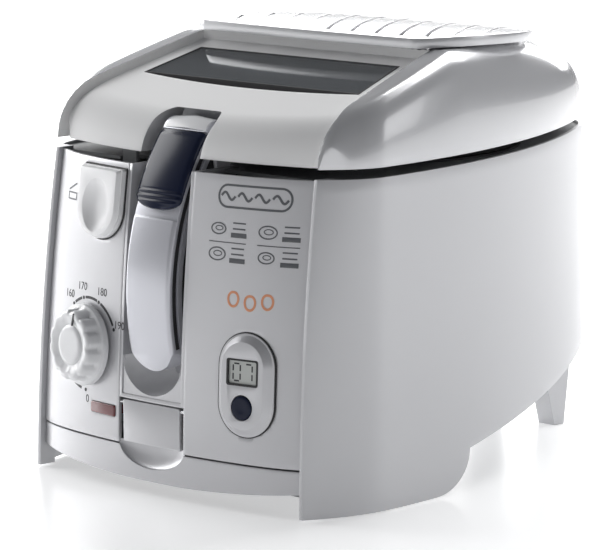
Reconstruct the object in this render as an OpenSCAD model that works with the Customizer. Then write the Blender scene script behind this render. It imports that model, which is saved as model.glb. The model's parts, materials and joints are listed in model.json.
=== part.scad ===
// Deep fryer with a tilted rotating basket, a hinged lid and a fold-down handle.
// Millimetres, +Z up, front towards -Y. The origin is at the centre of the footprint, on the floor.

/* [Body] */
// Greatest width of the body
body_w = 270; // [250:5:300]
// Width across the front corners at the floor
corner_w = 235.6; // [225:1:245]
// How much narrower the front corners are at the top
corner_taper = 5.8; // [0:0.5:10]
// Height of the body's top edge
body_h = 201; // [190:1:230]
// Distance from the front corners back to the widest place
wide_y = 56; // [50:1:75]
// Radius of the long side curves
side_r = 477; // [460:1:600]
// Radius of the round rear end
rear_r = 67; // [60:1:75]
// How far the front leans back at the top edge
front_lean = 18; // [8:0.5:24]
// How far the front panel bulges at the floor
bulge_low = 12.5; // [8:0.5:16]
// How far the front panel bulges at the top edge
bulge_top = 18; // [12:0.5:22]
// Wall thickness of the plastic covers
wall = 2.6; // [2:0.1:3]

/* [Lid] */
// Gap between the body's top edge and the lid
lid_gap = 6; // [4:0.5:8]
// Radius of the lid's front curve
lid_front_r = 39; // [34:0.5:42]
// Slope of the lid's top in degrees
lid_slope = 16.5; // [12:0.5:18]
// Highest point of the lid above the body's top edge
lid_rise = 67; // [64:0.5:72]
// How deep the middle band lies below the side shoulders
band_drop = 5.5; // [4:0.5:7]
// Length of the window
window_l = 43; // [36:1:46]
// Width of the window at its front
window_w = 188; // [160:1:192]
// Thickness of the window
window_t = 3; // [2.5:0.1:3.5]
// Radius of the round filter cover
cover_r = 108; // [100:0.5:112]
// Thickness of the filter cover
cover_t = 6; // [5:0.5:7]
// Number of open slots in the filter cover
slots = 5; // [3:1:6]

/* [Bowl and basket] */
// Forward tilt of the bowl and basket in degrees
tilt = 10; // [8:0.5:11]
// Inside radius of the bowl
bowl_r = 100; // [94:0.5:101]
// Wall thickness of the bowl
bowl_t = 2; // [1.5:0.1:2.4]
// Radius of the basket
basket_r = 88; // [80:0.5:90]
// Depth of the basket
basket_h = 58; // [45:1:62]
// How far the handle lifts the basket
lift = 20; // [10:1:22]
// Radius of the drive shaft
shaft_r = 4; // [3:0.1:5]
// Module of the drive gears
gear_m = 2; // [1.8:0.1:2.2]
// Teeth on the drive gear
gear_teeth = 45; // [40:1:46]
// Teeth on the motor pinion
pinion_teeth = 15; // [13:1:16]

/* [Handle] */
// Width of the handle
handle_w = 38; // [34:0.5:42]
// Radius of the handle's curved front
handle_r = 165; // [155:1:175]
// Thickness of the handle
handle_t = 20; // [16:0.5:22]
// Clear space on each side of the handle
handle_side_gap = 7; // [5:0.5:8]
// Radius of the handle's pivot pin
pivot_r = 3; // [2.5:0.1:3.5]

/* [Controls] */
// Radius of the temperature knob
knob_r = 25.5; // [22:0.5:27]
// Height of the knob above the panel
knob_h = 15; // [12:0.5:16]
// Radius of the thermostat's shaft
knob_shaft_r = 3; // [2.5:0.1:3.5]
// Width of the lid button
button_w = 43; // [38:0.5:44]
// Height of the lid button
button_h = 44; // [40:0.5:46]
// Travel of the lid button
button_travel = 3; // [2:0.1:3.5]
// Width of the timer's oval
timer_w = 40; // [36:0.5:44]
// Height of the timer's oval
timer_h = 62; // [56:0.5:66]
// Radius of the timer's button
timer_button_r = 7.3; // [6:0.1:8]

/* [Fits] */
// Running clearance of a shaft in its hole
run_fit = 0.06; // [0.02:0.01:0.1]
// Gap between fixed neighbours
fit_gap = 0.15; // [0.1:0.05:0.3]
// Gap around moving covers and buttons
move_gap = 0.6; // [0.5:0.1:1]

/* [Hidden] */
$fn = 48;

// overall places, measured back from the front corners
rear_c = sqrt(pow(side_r - rear_r, 2) - pow(side_r - body_w / 2, 2)) + wide_y;
rear_y = rear_c + rear_r;
front_reach = 24.7;
mid_y = (rear_y - front_reach) / 2;

// the outline's blend from the side curve into the rear curve
blend_a = atan2(rear_c - wide_y, side_r - body_w / 2);
side_c = side_r - body_w / 2;
front_steps = 5;
side_steps = 9;
rear_steps = 6;

// the front face
function share(z) = z / body_h;
function corner_x(z) = corner_w / 2 - corner_taper / 2 * pow(max(0, share(z)), 1.5);
function corner_y(z) = front_lean * (0.22 * share(z) + 0.78 * pow(share(z), 2));
function bulge(z) = bulge_low + (bulge_top - bulge_low) * share(z);
function face_y(x, z) = corner_y(z) - bulge(z) * (1 - pow(x / corner_x(z), 2)) + band_drop * pow(x / corner_x(z), 8);

// half of the outline at height z, inset by d, from the front corner to the rear centre
function half_outline(z, d, front_y) = concat(
    [for (i = [0:front_steps - 1]) let (s = i / front_steps, x0 = corner_x(z) - d)
        [x0 + (body_w / 2 - d - x0) * (1 - pow(1 - s, 2)), front_y + (wide_y - front_y) * s]],
    [for (i = [0:side_steps - 1]) let (a = blend_a * i / side_steps)
        [-side_c + (side_r - d) * cos(a), wide_y + (side_r - d) * sin(a)]],
    [for (i = [0:rear_steps - 1]) let (a = blend_a + (90 - blend_a) * i / rear_steps)
        [(rear_r - d) * cos(a), rear_c + (rear_r - d) * sin(a)]]);
function flip(points) = [for (i = [len(points) - 1:-1:0]) [-points[i][0], points[i][1]]];
function outline(z, d, front_y) = let (half = half_outline(z, d, front_y))
    concat(half, [[0, rear_y - d]], flip(half));
function ring(z, d, front_y) = [for (p = outline(z, d, front_y)) [p[0], p[1], z]];

module in_place() {
    translate([0, -mid_y, 0])
        children();
}

function middle(points) = [for (c = [0:2]) let (v = [for (p = points) p[c]]) v * [for (i = v) 1] / len(points)];

// a closed solid through rings that have the same number of points
module loft(rings) {
    n = len(rings[0]);
    k = len(rings);
    points = concat([for (r = rings) for (p = r) p], [middle(rings[0]), middle(rings[k - 1])]);
    sides = [for (j = [0:k - 2]) for (i = [0:n - 1]) let (a = j * n + i, b = j * n + (i + 1) % n)
        each [[a, a + n, b + n], [a, b + n, b]]];
    caps = [for (i = [0:n - 1]) let (b = (i + 1) % n) each [[i, b, k * n], [(k - 1) * n + i, k * n + 1, (k - 1) * n + b]]];
    polyhedron(points, concat(sides, caps));
}

// a closed plate between a front grid and a back grid, rows running up and columns to the right
module sheet(front, back) {
    rows = len(front);
    cols = len(front[0]);
    n = rows * cols;
    points = concat([for (r = front) for (p = r) p], [for (r = back) for (p = r) p]);
    faces = [for (j = [0:rows - 2]) for (i = [0:cols - 2]) let (a = j * cols + i, b = a + 1, c = a + cols, d = c + 1)
        each [[a, c, d], [a, d, b], [a + n, b + n, d + n], [a + n, d + n, c + n]]];
    low = [for (i = [0:cols - 2]) each [[i, i + 1, i + 1 + n], [i, i + 1 + n, i + n]]];
    top_row = (rows - 1) * cols;
    high = [for (i = [0:cols - 2]) let (a = top_row + i) each [[a, a + n, a + 1 + n], [a, a + 1 + n, a + 1]]];
    left = [for (j = [0:rows - 2]) let (a = j * cols, b = a + cols) each [[a, a + n, b + n], [a, b + n, b]]];
    right = [for (j = [0:rows - 2]) let (a = j * cols + cols - 1, b = a + cols)
        each [[a, b, b + n], [a, b + n, a + n]]];
    polyhedron(points, concat(faces, low, high, left, right));
}

// a piece of the front face between two heights, d behind the face
panel_cols = 20;
function face_grid(z0, z1, rows, half, d) = [for (j = [0:rows]) let (z = z0 + (z1 - z0) * j / rows)
    [for (i = [0:panel_cols]) let (x = (2 * i / panel_cols - 1) * (half - (corner_x(0) - corner_x(z))))
        [x, face_y(x, z) + d, z]]];

// extrudes a side profile of (y, z) points across the width
module across(w) {
    rotate([90, 0, 90])
        translate([0, 0, -w / 2])
            linear_extrude(w)
                children();
}

// --- side view of the underside
leg_end = 100;
floor_z = 1.2;
plate_z = 12;
rise_y = 134;
rise_z = 26;
rear_rise = 58;
function under_z(y) = y < rise_y ? rise_z : rise_z + (rear_rise - rise_z) * (y - rise_y) / (rear_y - 15 - rise_y);
fillet_steps = 6;
fillet_curve = [for (i = [0:fillet_steps]) let (s = i / fillet_steps)
    [leg_end + (rise_y - leg_end) * sin(90 * s), floor_z + (rise_z - floor_z) * (1 - cos(90 * s))]];

module underside_cut() {
    across(body_w + 10)
        polygon(concat([[-40, -20], [-40, floor_z]], fillet_curve,
            [[rear_y - 15, rear_rise], [rear_y + 20, rear_rise + 9], [rear_y + 20, -20]]));
}

// hollow of the shell: straight walls behind the front edges, then the inset outline
lip_d = 12;
function hollow_half(z, g, front) = let (x0 = corner_x(z) - wall - g, y0 = corner_y(z), half = half_outline(z, wall + g, y0))
    concat([[x0, y0 + front], [x0, y0 + lip_d + g]], [for (p = half) if (p[1] > y0 + lip_d + 1.5) [p[0], p[1] + g]]);
function hollow_ring(z, g = 0, front = -30) = let (half = hollow_half(z, g, front))
    [for (p = concat(half, [[0, rear_y - wall - g]], flip(half))) [p[0], p[1], z]];
module side_shell() {
    levels = [0:6];
    color("whitesmoke") in_place() difference() {
        loft([for (k = levels) let (z = body_h * k / 6) ring(z, 0, corner_y(z))]);
        loft([for (k = levels) let (z = -1 + (body_h + 2) * k / 6) hollow_ring(z)]);
        underside_cut();
        translate([cord_x, rear_y - 30, cord_z])
            rotate([-90, 0, 0])
                cylinder(r = gland_r + fit_gap, h = 40);
    }
}

// --- front panel
panel_bottom = 30;
panel_top = body_h - 1;
panel_half = corner_x(0) - wall - fit_gap;
channel_half = handle_w / 2 + handle_side_gap;
knob_x = -61;
knob_z = 86;
lens_x = -44;
lens_z = 48.3;
lens_w = 24;
lens_h = 7;
timer_x = 77;
timer_z = 77.5;
button_x = -channel_half - wall - button_w / 2 - 2;
button_top = 196;
button_z = button_top - button_h / 2;
door_half = channel_half - 1;
door_bottom = panel_bottom + 1;
door_top = 57;

module oval(w, h) {
    for (s = [-1, 1])
        translate([0, s * (h - w) / 2])
            circle(d = w);
    square([w, h - w], center = true);
}

// a shape in the front view (x, z), drawn as a bar along Y from y0 to y1
module along_y(x, z, y0, y1) {
    translate([x, y1, z])
        rotate([90, 0, 0])
            linear_extrude(y1 - y0)
                children();
}

// local frame on the front face: x to the right, y up, z out of the face
function face_turn(x, z) = atan((face_y(x + 1, z) - face_y(x - 1, z)) / 2);
function face_tilt(x, z) = atan((face_y(x, z + 1) - face_y(x, z - 1)) / 2);
module on_face(x, z, out = 0) {
    translate([x, face_y(x, z), z])
        rotate([90 - face_tilt(x, z), 0, face_turn(x, z)])
            translate([0, 0, out])
                children();
}

module button_shape(grow) {
    r = button_w / 2 + grow;
    translate([0, -button_h / 2 + button_w / 2 - 3])
        intersection() {
            circle(r = r + 2.4);
            square([2 * r, 4 * r], center = true);
        }
    translate([-r, -3])
        square([2 * r, button_h / 2 + 3 + grow]);
}

module front_panel() {
    color("whitesmoke") in_place() difference() {
        sheet(face_grid(panel_bottom, panel_top, 8, panel_half, 0),
            face_grid(panel_bottom, panel_top, 8, panel_half, wall));
        translate([-channel_half - wall - fit_gap, -60, 0])
            cube([2 * (channel_half + wall + fit_gap), 100, body_h + 10]);
        on_face(knob_x, knob_z, -20)
            cylinder(r = knob_shaft_r + 1.5, h = 40);
        on_face(lens_x, lens_z, -20)
            linear_extrude(40)
                square([lens_w + 2 * fit_gap, lens_h + 2 * fit_gap], center = true);
        on_face(timer_x, timer_z, -20)
            linear_extrude(40)
                oval(timer_w + 2 * fit_gap, timer_h + 2 * fit_gap);
        on_face(button_x, button_z, -20)
            linear_extrude(40)
                button_shape(move_gap);
    }
}

skirt_bottom = 9;
skirt_gap = 1.2;
module front_skirt() {
    top = panel_bottom - skirt_gap;
    color("whitesmoke") in_place() difference() {
        sheet(face_grid(skirt_bottom, top, 3, panel_half, 0.4), face_grid(skirt_bottom, top, 3, panel_half, 0.4 + wall));
        // the lower edge rises towards the corners
        along_y(0, skirt_bottom - 262, -40, 40)
            difference() {
                square([3 * body_w, 700], center = true);
                scale([1, 1])
                    translate([0, 1260])
                        circle(r = 1001, $fn = 180);
            }
        // finger recess below the drain door
        along_y(0, top + 2, -40, 40)
            scale([1, 1])
                intersection() {
                    translate([0, 18])
                        circle(r = 32);
                    square([56, 40], center = true);
                }
    }
}

// --- base
plate_gap = 0.3;
plate_up = 0.6;
module base_plate() {
    t = wall;
    up = plate_up;
    color("gainsboro") in_place() difference() {
        intersection() {
            loft([for (z = [0, 45, 90]) hollow_ring(z, plate_gap, 3)]);
            across(body_w)
                polygon([[9, plate_z], [leg_end + 14, plate_z], [rise_y + 4, rise_z + up], [rear_y - 15, rear_rise + up],
                    [rear_y, rear_rise + up + 3], [rear_y, rear_rise + up + 3 + t], [rear_y - 15, rear_rise + up + t],
                    [rise_y + 2, rise_z + up + t], [leg_end + 12, plate_z + t], [9, plate_z + t]]);
        }
        for (p = screw_places)
            translate([p[0], p[1], p[2] - 20])
                cylinder(r = screw_r + 0.7, h = 60);
        // air slots
        for (i = [-4:4])
            translate([i * 9 - 1.5, 55, 0])
                cube([3, 40, 30]);
    }
}

foot_r = 9;
feet = [[-88, 90, plate_z], [88, 90, plate_z]];
rear_foot_x = 28;
rear_foot_y = rear_y - 32;
module rubber_feet() {
    color("dimgray") in_place() {
        for (p = feet)
            translate([p[0], p[1], 0])
                cylinder(r1 = foot_r - 1, r2 = foot_r, h = p[2] - 0.05);
        for (s = [-1, 1])
            translate([s * rear_foot_x, 0, 0])
                across(14)
                    polygon([[rear_foot_y, 0], [rear_foot_y + 9, 0], [rear_foot_y + 17, rear_rise - 0.5],
                        [rear_foot_y - 14, under_z(rear_foot_y - 14) - 0.3]]);
    }
}

screw_r = 1.6;
screw_places = [[-88, 70, plate_z], [88, 70, plate_z], [-70, 215, under_z(215) + plate_up], [70, 215, under_z(215) + plate_up]];
module base_screws() {
    color("silver") in_place()
        for (p = screw_places)
            translate([p[0], p[1], p[2] - 2.8])
                union() {
                    cylinder(r = 3.2, h = 2);
                    cylinder(r = screw_r, h = 12);
                }
}

// --- bowl, tilted about its own bottom centre
bowl_y = 185;
bowl_z = 70;
basket_lift_gap = 7;
deck_z = body_h - 4;
deck_t = 2.2;
module tilted() {
    translate([0, bowl_y, bowl_z])
        rotate([tilt, 0, 0])
            children();
}
module bowl_hollow(grow, low) {
    tilted()
        translate([0, 0, -low])
            cylinder(r = bowl_r + grow, h = 220, $fn = 96);
}
module below(z) {
    intersection() {
        children();
        translate([-200, -50, -50])
            cube([400, 500, z + 50]);
    }
}
flange_w = 7;
bowl_top_y = bowl_y - (deck_z - bowl_z) * tan(tilt);
module bowl() {
    color("dimgray") in_place() difference() {
        union() {
            below(deck_z + deck_t + 1)
                bowl_hollow(bowl_t, bowl_t);
            translate([0, bowl_top_y, deck_z + deck_t])
                cylinder(r = bowl_r + flange_w, h = 1.2, $fn = 96);
        }
        bowl_hollow(0, 0);
        // shaft hole
        tilted()
            translate([0, 0, -20])
                cylinder(r = bush_r + fit_gap, h = 40);
        // drain hole at the low side
        tilted()
            translate([0, -bowl_r + 16, -20])
                cylinder(r = drain_r + fit_gap, h = 40);
    }
}

module rim_deck() {
    color("gainsboro") in_place() difference() {
        loft([for (z = [deck_z, deck_z + deck_t]) hollow_ring(z, plate_gap, 8)]);
        translate([0, bowl_top_y, deck_z - 5])
            cylinder(r = bowl_r + flange_w - 2.5, h = 20, $fn = 96);
        translate([-channel_half - wall - 1, -10, deck_z - 5])
            cube([2 * (channel_half + wall + 1), channel_depth_top + 10, 20]);
        // place for the lid button's catch
        translate([button_x - 12, -10, deck_z - 5])
            cube([24, 46, 20]);
    }
}

ring_r = 70;
element_r = 4;
module heating_element() {
    color("silver") in_place() tilted()
        translate([0, 0, -bowl_t - element_r - 0.1])
            union() {
                rotate_extrude($fn = 96)
                    translate([ring_r, 0])
                        circle(r = element_r, $fn = 24);
                for (s = [-1, 1])
                    translate([s * 14, -ring_r, 0])
                        rotate([90, 0, 0])
                            cylinder(r = element_r - 0.5, h = 22, $fn = 24);
            }
}

module thermostat_bulb() {
    color("goldenrod") in_place() tilted()
        translate([-20, 46, -bowl_t - 3.1])
            rotate([0, 90, 0])
                cylinder(r = 3, h = 40, $fn = 24);
}

module thermal_cutout() {
    color("ivory") in_place() tilted()
        translate([50, -25, -bowl_t - 8.1])
            cylinder(r = 8, h = 8);
}

// --- drive
bush_r = 8;
bush_low = 7;
gear_low = 15.5;
gear_t = 5;
gear_bore = shaft_r + run_fit;
centre_dist = gear_m * (gear_teeth + pinion_teeth) / 2;
module gear(teeth, t, bore) {
    pitch_r = gear_m * teeth / 2;
    root_r = pitch_r - 1.25 * gear_m;
    tip_r = pitch_r + 0.85 * gear_m;
    half_root = 360 / teeth * 0.29;
    half_tip = 360 / teeth * 0.12;
    linear_extrude(t)
        difference() {
            polygon([for (i = [0:teeth - 1]) let (a = 360 * i / teeth)
                each [[root_r * cos(a - half_root), root_r * sin(a - half_root)],
                    [tip_r * cos(a - half_tip), tip_r * sin(a - half_tip)],
                    [tip_r * cos(a + half_tip), tip_r * sin(a + half_tip)],
                    [root_r * cos(a + half_root), root_r * sin(a + half_root)]]]);
            circle(r = bore);
        }
}

module drive_bush() {
    color("burlywood") in_place() tilted()
        translate([0, 0, -bush_low - bowl_t])
            difference() {
                union() {
                    cylinder(r = bush_r, h = bush_low + bowl_t + 3);
                    cylinder(r = bush_r + 3, h = bush_low - 0.1);
                }
                translate([0, 0, -1])
                    cylinder(r = gear_bore, h = 30);
            }
}

module drive_gear() {
    color("ivory") in_place() tilted()
        translate([0, 0, -gear_low])
            rotate(90)
                gear(gear_teeth, gear_t, shaft_r - 0.01);
}

dog_h = 8;
module drive_shaft() {
    color("silver") in_place() tilted()
        translate([0, 0, -gear_low - 1])
            union() {
                cylinder(r = shaft_r, h = gear_low + 1 + 5);
                // cross dog that turns the basket's hub
                translate([-1.5, -6.5, gear_low + 4.5])
                    cube([3, 13, dog_h]);
            }
}

pinion_bore = 2.5;
module motor_pinion() {
    color("ivory") in_place() tilted()
        translate([0, centre_dist, -gear_low])
            rotate(-90 + 180 / pinion_teeth)
                union() {
                    gear(pinion_teeth, gear_t, pinion_bore);
                    translate([0, 0, -1])
                        cylinder(r = pinion_bore + 0.01, h = gear_t + 1);
                }
}

motor_r = 24;
motor_h = 10;
ear_x = motor_r + 6;
module gear_motor() {
    color("silver") in_place() tilted()
        translate([0, centre_dist, -gear_low - 1.6 - motor_h])
            difference() {
                union() {
                    cylinder(r = motor_r, h = motor_h);
                    for (s = [-1, 1])
                        translate([s * ear_x, 0, motor_h - 2])
                            cylinder(r = 6.5, h = 2);
                }
                for (s = [-1, 1])
                    translate([s * ear_x, 0, 0])
                        cylinder(r = 1.7, h = 20);
                translate([0, 0, motor_h - 4])
                    cylinder(r = pinion_bore + 0.5, h = 10);
            }
}

module motor_bracket() {
    z0 = -gear_low - 1.6 - motor_h;
    color("silver") in_place() tilted()
        for (s = [-1, 1])
            translate([s * ear_x, centre_dist, z0 - 0.5])
                difference() {
                    cylinder(r = 4.5, h = motor_h - 2 + 0.4);
                    translate([0, 0, -1])
                        cylinder(r = 1.4, h = 20);
                }
}

// --- basket
basket_low = 10;
carrier_r = basket_r + 3.5;
carrier_h = 40;
module basket() {
    t = 1.2;
    color("silver") in_place() tilted()
        difference() {
            union() {
                translate([0, 0, basket_low])
                    cylinder(r = basket_r, h = basket_h, $fn = 72);
                translate([0, 0, basket_low + basket_h - 2])
                    cylinder(r = basket_r + 6, h = 2, $fn = 72);
            }
            translate([0, 0, basket_low + t])
                difference() {
                    cylinder(r = basket_r - t, h = basket_h, $fn = 72);
                    cylinder(r1 = 16, r2 = 12, h = 14);
                }
            // socket that drops over the cross dog
            translate([0, 0, -1])
                cylinder(r = 8, h = 16);
        }
}

arm_w = 22;
arm_t = 2.4;
arm_top = body_h + 3;
module basket_carrier() {
    color("silver") in_place() {
        tilted()
            translate([0, 0, ring_z])
                difference() {
                    cylinder(r = carrier_r + 2, h = 3, $fn = 72);
                    translate([0, 0, -1])
                        cylinder(r = basket_r + 0.8, h = 6, $fn = 72);
                }
        // strap up the bowl's front wall
        intersection() {
            tilted()
                across(arm_w)
                    polygon([[-strap_r, ring_z + 0.2], [-carrier_r + 1, ring_z + 0.2], [-carrier_r + 1, ring_z + 2.6],
                        [-strap_r + arm_t, ring_z + 2.6], [-strap_r + arm_t, 200], [-strap_r, 200]]);
            translate([-50, -50, 0])
                cube([100, 400, arm_top - 0.6]);
        }
        // hook over the rim
        across(arm_w - 2)
            polygon([[strap_y, arm_top - 4], [strap_y, arm_top], [strap_front + 1.2, arm_top],
                [strap_front + 1.2, arm_top - arm_t], [strap_y + arm_t, arm_top - arm_t], [strap_y + arm_t, arm_top - 4]]);
    }
}
ring_z = basket_low + basket_h - 5.4;
strap_r = bowl_r - 1.6;
strap_front = bowl_y - strap_r / cos(tilt) - (arm_top - bowl_z) * tan(tilt);
strap_y = 49.5;

// --- drain
drain_r = 5;
drain_y = bowl_y - (bowl_r - 16) * cos(tilt);
drain_z = bowl_z - (bowl_r - 16) * sin(tilt) - 14;
module drain_tube() {
    color("dimgray") in_place()
        difference() {
            union() {
                translate([0, drain_y + 1.5, drain_z])
                    cylinder(r = drain_r, h = 12);
                translate([0, drain_y + 1.5 + drain_r + 2, drain_z])
                    rotate([90, 0, 0])
                        cylinder(r = drain_r + 1, h = drain_y + drain_r - 10);
            }
            translate([0, drain_y + 1.5, drain_z])
                cylinder(r = drain_r - 1.5, h = 20);
            translate([0, drain_y + 1.5 + drain_r, drain_z])
                rotate([90, 0, 0])
                    cylinder(r = drain_r - 1, h = drain_y + 30);
        }
}
cap_y = 13.5 - 0.1;
module drain_cap() {
    color("firebrick") in_place()
        translate([0, cap_y + 5, drain_z])
            rotate([90, 0, 0])
                difference() {
                    union() {
                        cylinder(r = drain_r + 3, h = 14);
                        translate([-2, -drain_r - 6, 11])
                            cube([4, 2 * drain_r + 12, 3]);
                    }
                    translate([0, 0, -1])
                        cylinder(r = drain_r + 1.02, h = 6.9);
                }
}

door_y = face_y(0, door_bottom) + 1.2;
door_t = 3.4;
door_pin_r = 1;
door_pin_y = door_y + 1.8;
door_pin_z = door_top - 2;
module drain_door() {
    color("whitesmoke") in_place()
        difference() {
            translate([-door_half, door_y, door_bottom])
                cube([2 * door_half, door_t, door_top - door_bottom]);
            across(3 * door_half)
                translate([door_pin_y, door_pin_z])
                    circle(r = door_pin_r + run_fit);
        }
}

module door_pin() {
    color("silver") in_place()
        across(2 * (channel_half + wall))
            translate([door_pin_y, door_pin_z])
                circle(r = door_pin_r);
}

// --- handle and its channel
arc_y = -14.1 + handle_r;
arc_z = 121;
handle_low = 77;
pivot_a = 38.5;
pivot_arm = handle_r - handle_t / 2;
pivot_y = arc_y - pivot_arm * cos(pivot_a);
pivot_z = arc_z + pivot_arm * sin(pivot_a);
floor_gap = 5;
channel_floor_r = handle_r - handle_t - floor_gap;
channel_depth_top = arc_y - sqrt(pow(channel_floor_r, 2) - pow(body_h - arc_z, 2)) + wall;
scoop_z = 85;
scoop_low = door_top + 1 + wall;
scoop_y = arc_y - sqrt(pow(channel_floor_r, 2) - pow(scoop_z - arc_z, 2));
scoop_drop = scoop_z - scoop_low;
scoop_front = door_y + 1;
scoop_r = (pow(scoop_y - scoop_front, 2) + pow(scoop_drop, 2)) / (2 * (scoop_y - scoop_front));
scoop_span = asin(scoop_drop / scoop_r);

// side view of the channel's hollow, with its floor moved back by t
function channel_profile(t) = concat(
    [[-60, scoop_low - t], [scoop_front, scoop_low - t]],
    [for (i = [0:8]) let (a = -scoop_span * (1 - i / 8)) [scoop_y - scoop_r + (scoop_r + t) * cos(a), scoop_z + (scoop_r + t) * sin(a)]],
    [for (i = [1:8]) let (z = scoop_z + (body_h + 10 - scoop_z) * i / 8)
        [arc_y - sqrt(pow(channel_floor_r - t, 2) - pow(z - arc_z, 2)), z]],
    [[-60, body_h + 10]]);

ear_gap = 1;
ear_t = 3;
ear_r = 7;
module handle_channel() {
    color("whitesmoke") in_place() difference() {
        union() {
            difference() {
                intersection() {
                    across(2 * (channel_half + wall))
                        polygon(channel_profile(wall));
                    sheet(face_grid(panel_bottom, panel_top, 8, panel_half, 0.2),
                        face_grid(panel_bottom, panel_top, 8, panel_half, 80));
                }
                across(2 * channel_half)
                    polygon(channel_profile(0));
            }
            // hangers that carry the drain door's pin
            for (s = [-1, 1])
                translate([s * (channel_half + wall / 2) - wall / 2, door_y + 0.2, door_pin_z - 3.5])
                    cube([wall, 7, scoop_low - door_pin_z + 3]);
            // ears that carry the handle's pin
            for (s = [-1, 1])
                translate([s * (handle_w / 2 + ear_gap + ear_t / 2), 0, 0])
                    across(ear_t) {
                        polygon([[pivot_y - ear_r, pivot_z], [pivot_y + ear_r, pivot_z], [pivot_y + ear_r, body_h - 6],
                            [pivot_y - ear_r + 4, body_h - 16]]);
                        translate([pivot_y, pivot_z])
                            circle(r = ear_r);
                    }
        }
        across(handle_w + 20)
            translate([pivot_y, pivot_z])
                circle(r = pivot_r + 0.01);
        across(3 * channel_half)
            translate([door_pin_y, door_pin_z])
                circle(r = door_pin_r + 0.01);
        // way through for the basket's strap
        translate([-arm_w / 2 - 1.5, pivot_y, deck_z - 12])
            cube([arm_w + 3, 60, 40]);
    }
}

module handle_bar(r_out, r_in, a0, a1, w) {
    steps = 20;
    across(w)
        polygon(concat(
            [for (i = [0:steps]) let (a = a0 + (a1 - a0) * i / steps) [arc_y - r_out * cos(a), arc_z + r_out * sin(a)]],
            [for (i = [steps:-1:0]) let (a = a0 + (a1 - a0) * i / steps) [arc_y - r_in * cos(a), arc_z + r_in * sin(a)]]));
}

low_a = -asin((arc_z - handle_low) / handle_r);
slider_low_a = 20.5;
slider_high_a = 37;
slider_travel_a = 1.6;
pad_t = 2;
module handle() {
    color("lavender") in_place() difference() {
        intersection() {
            union() {
                handle_bar(handle_r, handle_r - handle_t, low_a, pivot_a, handle_w);
                across(handle_w)
                    translate([pivot_y, pivot_z])
                        circle(r = handle_t / 2);
            }
            // round lower end
            along_y(0, 0, -60, 120)
                union() {
                    translate([0, handle_low + handle_w / 2 + 1])
                        circle(r = handle_w / 2 + 1);
                    translate([-handle_w, handle_low + handle_w / 2])
                        square([2 * handle_w, 300]);
                }
        }
        // hollow back
        handle_bar(handle_r - 4, handle_r - handle_t - 5, low_a + 6, 26, handle_w - 8);
        // seat of the slider
        handle_bar(handle_r + 5, handle_r - pad_t, slider_low_a - slider_travel_a - 0.4, slider_high_a + 0.4, handle_w - 3);
        // pocket of the slider's spring
        handle_bar(handle_r - pad_t + 1, handle_r - 10, spring_a - 3, spring_a + 3, 8);
        across(handle_w + 4)
            translate([pivot_y, pivot_z])
                circle(r = pivot_r + run_fit);
    }
}
spring_a = 27;

module handle_slider() {
    color("midnightblue") in_place()
        handle_bar(handle_r + 1.2, handle_r - pad_t + 0.3, slider_low_a, slider_high_a, handle_w - 4);
}

module slider_spring() {
    color("silver") in_place()
        translate([0, arc_y - (handle_r - 6) * cos(spring_a), arc_z + (handle_r - 6) * sin(spring_a)])
            rotate([-spring_a, 0, 0])
                translate([0, 0, -7])
                    difference() {
                        cylinder(r = 2.5, h = 14, $fn = 24);
                        translate([0, 0, -1])
                            cylinder(r = 1.7, h = 16, $fn = 24);
                    }
}

module handle_pivot_pin() {
    color("silver") in_place()
        across(handle_w + 2 * ear_gap + 2 * ear_t + 1)
            translate([pivot_y, pivot_z])
                circle(r = pivot_r);
}

// --- controls, drawn on the face's own local frame
knob_gap = 1.2;
module temperature_knob() {
    color("white") in_place() on_face(knob_x, knob_z, knob_gap)
        difference() {
            union() {
                cylinder(r = knob_r, h = 6);
                cylinder(r = knob_r - 3, h = knob_h - knob_gap);
            }
            for (i = [0:11])
                rotate(30 * i)
                    translate([knob_r - 0.3, 0, 5])
                        cylinder(r = 3.5, h = 20, $fn = 24);
            translate([0, 0, -1])
                cylinder(r = knob_shaft_r - 0.01, h = 9);
        }
}

shaft_back = 30;
module knob_shaft() {
    color("silver") in_place() on_face(knob_x, knob_z, -shaft_back)
        cylinder(r = knob_shaft_r, h = shaft_back + knob_gap + 7);
}

module thermostat() {
    color("ivory") in_place() on_face(knob_x, knob_z, -wall - 1)
        difference() {
            union() {
                translate([-17, -17, -26])
                    cube([34, 34, 24]);
                translate([0, 0, -2.1])
                    cylinder(r = 6, h = 2.1);
            }
            translate([0, 0, wall + 1 - shaft_back - 0.5])
                cylinder(r = knob_shaft_r + run_fit, h = 60);
        }
}

module indicator_lens() {
    color("darkred") in_place() on_face(lens_x, lens_z, -wall - 2.2) {
        linear_extrude(wall + 3.2)
            square([lens_w, lens_h], center = true);
        linear_extrude(1.8)
            square([lens_w + 4, lens_h + 3], center = true);
    }
}
module neon_lamp() {
    color("orange") in_place() on_face(lens_x, lens_z, -wall - 6)
        translate([-8, 0, 0])
            rotate([0, 90, 0])
                cylinder(r = 2.8, h = 16, $fn = 24);
}

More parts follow.
